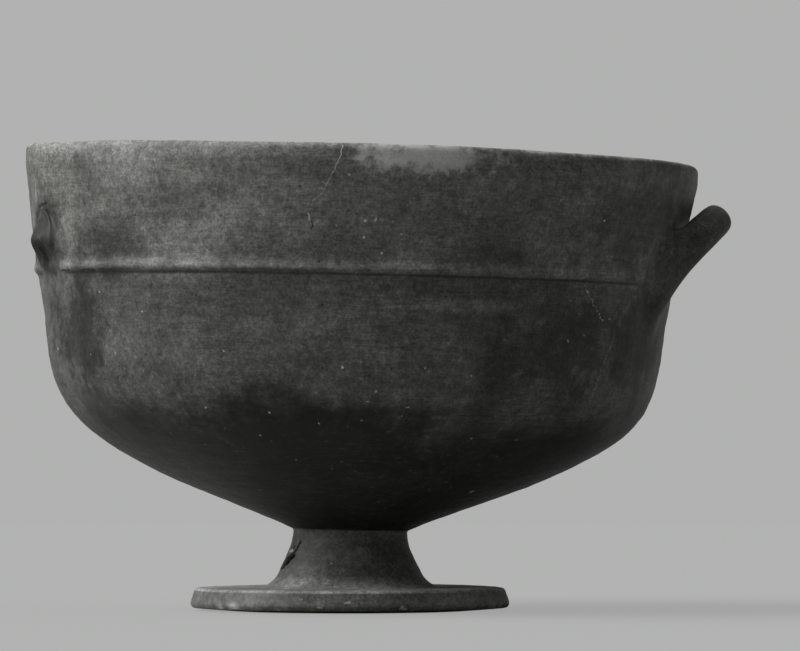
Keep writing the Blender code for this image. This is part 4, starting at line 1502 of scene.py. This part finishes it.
def make_light(s):
    """A wide, soft light from the left and above, and a weak one from overhead."""
    flat = math.cos(s.key_elevation)
    towards = Vector((math.sin(s.key_azimuth) * flat, -math.cos(s.key_azimuth) * flat,
                      math.sin(s.key_elevation)))
    lamps = (("side_light", s.key_strength, s.key_softness, towards),
             ("top_light", s.top_strength, s.top_softness, Vector((0, 0, 1))))
    for name, strength, softness, source in lamps:
        lamp = bpy.data.lights.new(name, "SUN")
        lamp.energy = strength
        lamp.angle = softness
        light = placed(name, lamp)
        light.rotation_mode = "QUATERNION"
        light.rotation_quaternion = source.to_track_quat("Z", "Y")


def make_world(s, scene):
    """An even grey to look at, which lights the bowl like a dimmer room."""
    world = bpy.data.worlds.new("backdrop")
    world.use_nodes = True
    w = Wires(world.node_tree)
    background = world.node_tree.nodes["Background"]
    background.inputs["Color"].default_value = (*s.backdrop, 1.0)
    seen = w.node("ShaderNodeLightPath").outputs["Is Camera Ray"]
    w.put(background.inputs["Strength"], w.remap(seen, 0.0, 1.0, s.room_light, 1.0))
    scene.world = world
    scene.view_settings.view_transform = "Standard"


def make_camera(s, scene):
    """A long lens that looks along +Y, slightly upwards."""
    lens = bpy.data.cameras.new("camera")
    lens.lens = s.lens
    lens.sensor_width = SENSOR
    lens.clip_end = CLIP_END
    camera = placed("camera", lens)
    camera.location = (s.axis + s.camera_side, -s.camera_distance, s.camera_height)
    camera.rotation_euler = (0.5 * math.pi + s.camera_pitch, 0.0, 0.0)
    scene.camera = camera


class BowlPanel(Panel):
    """Sizes, finish and stage of the bowl"""
    bl_idname = "VIEW3D_PT_pedestal_bowl"
    bl_label = "Pedestal Bowl"
    bl_space_type = "VIEW_3D"
    bl_region_type = "UI"
    bl_category = "Bowl"

    def draw(self, context):
        for group, kind in SETTINGS.items():
            box = self.layout.box()
            box.label(text=kind.__name__)
            for name in kind.__annotations__:
                box.prop(getattr(context.scene, group), name, text=name.replace("_", " ").capitalize())
        self.layout.operator(MakeBowl.bl_idname)
        self.layout.operator(MakeStage.bl_idname)


CLASSES = (*SETTINGS.values(), MakeBowl, MakeStage, BowlPanel)


def register():
    for kind in CLASSES:
        bpy.utils.register_class(kind)
    for group, kind in SETTINGS.items():
        setattr(bpy.types.Scene, group, PointerProperty(type=kind))


def unregister():
    for group in SETTINGS:
        delattr(bpy.types.Scene, group)
    for kind in reversed(CLASSES):
        bpy.utils.unregister_class(kind)


def main():
    register()
    bpy.ops.bowl.make_bowl()
    bpy.ops.bowl.make_stage()


if __name__ == "__main__":
    main()
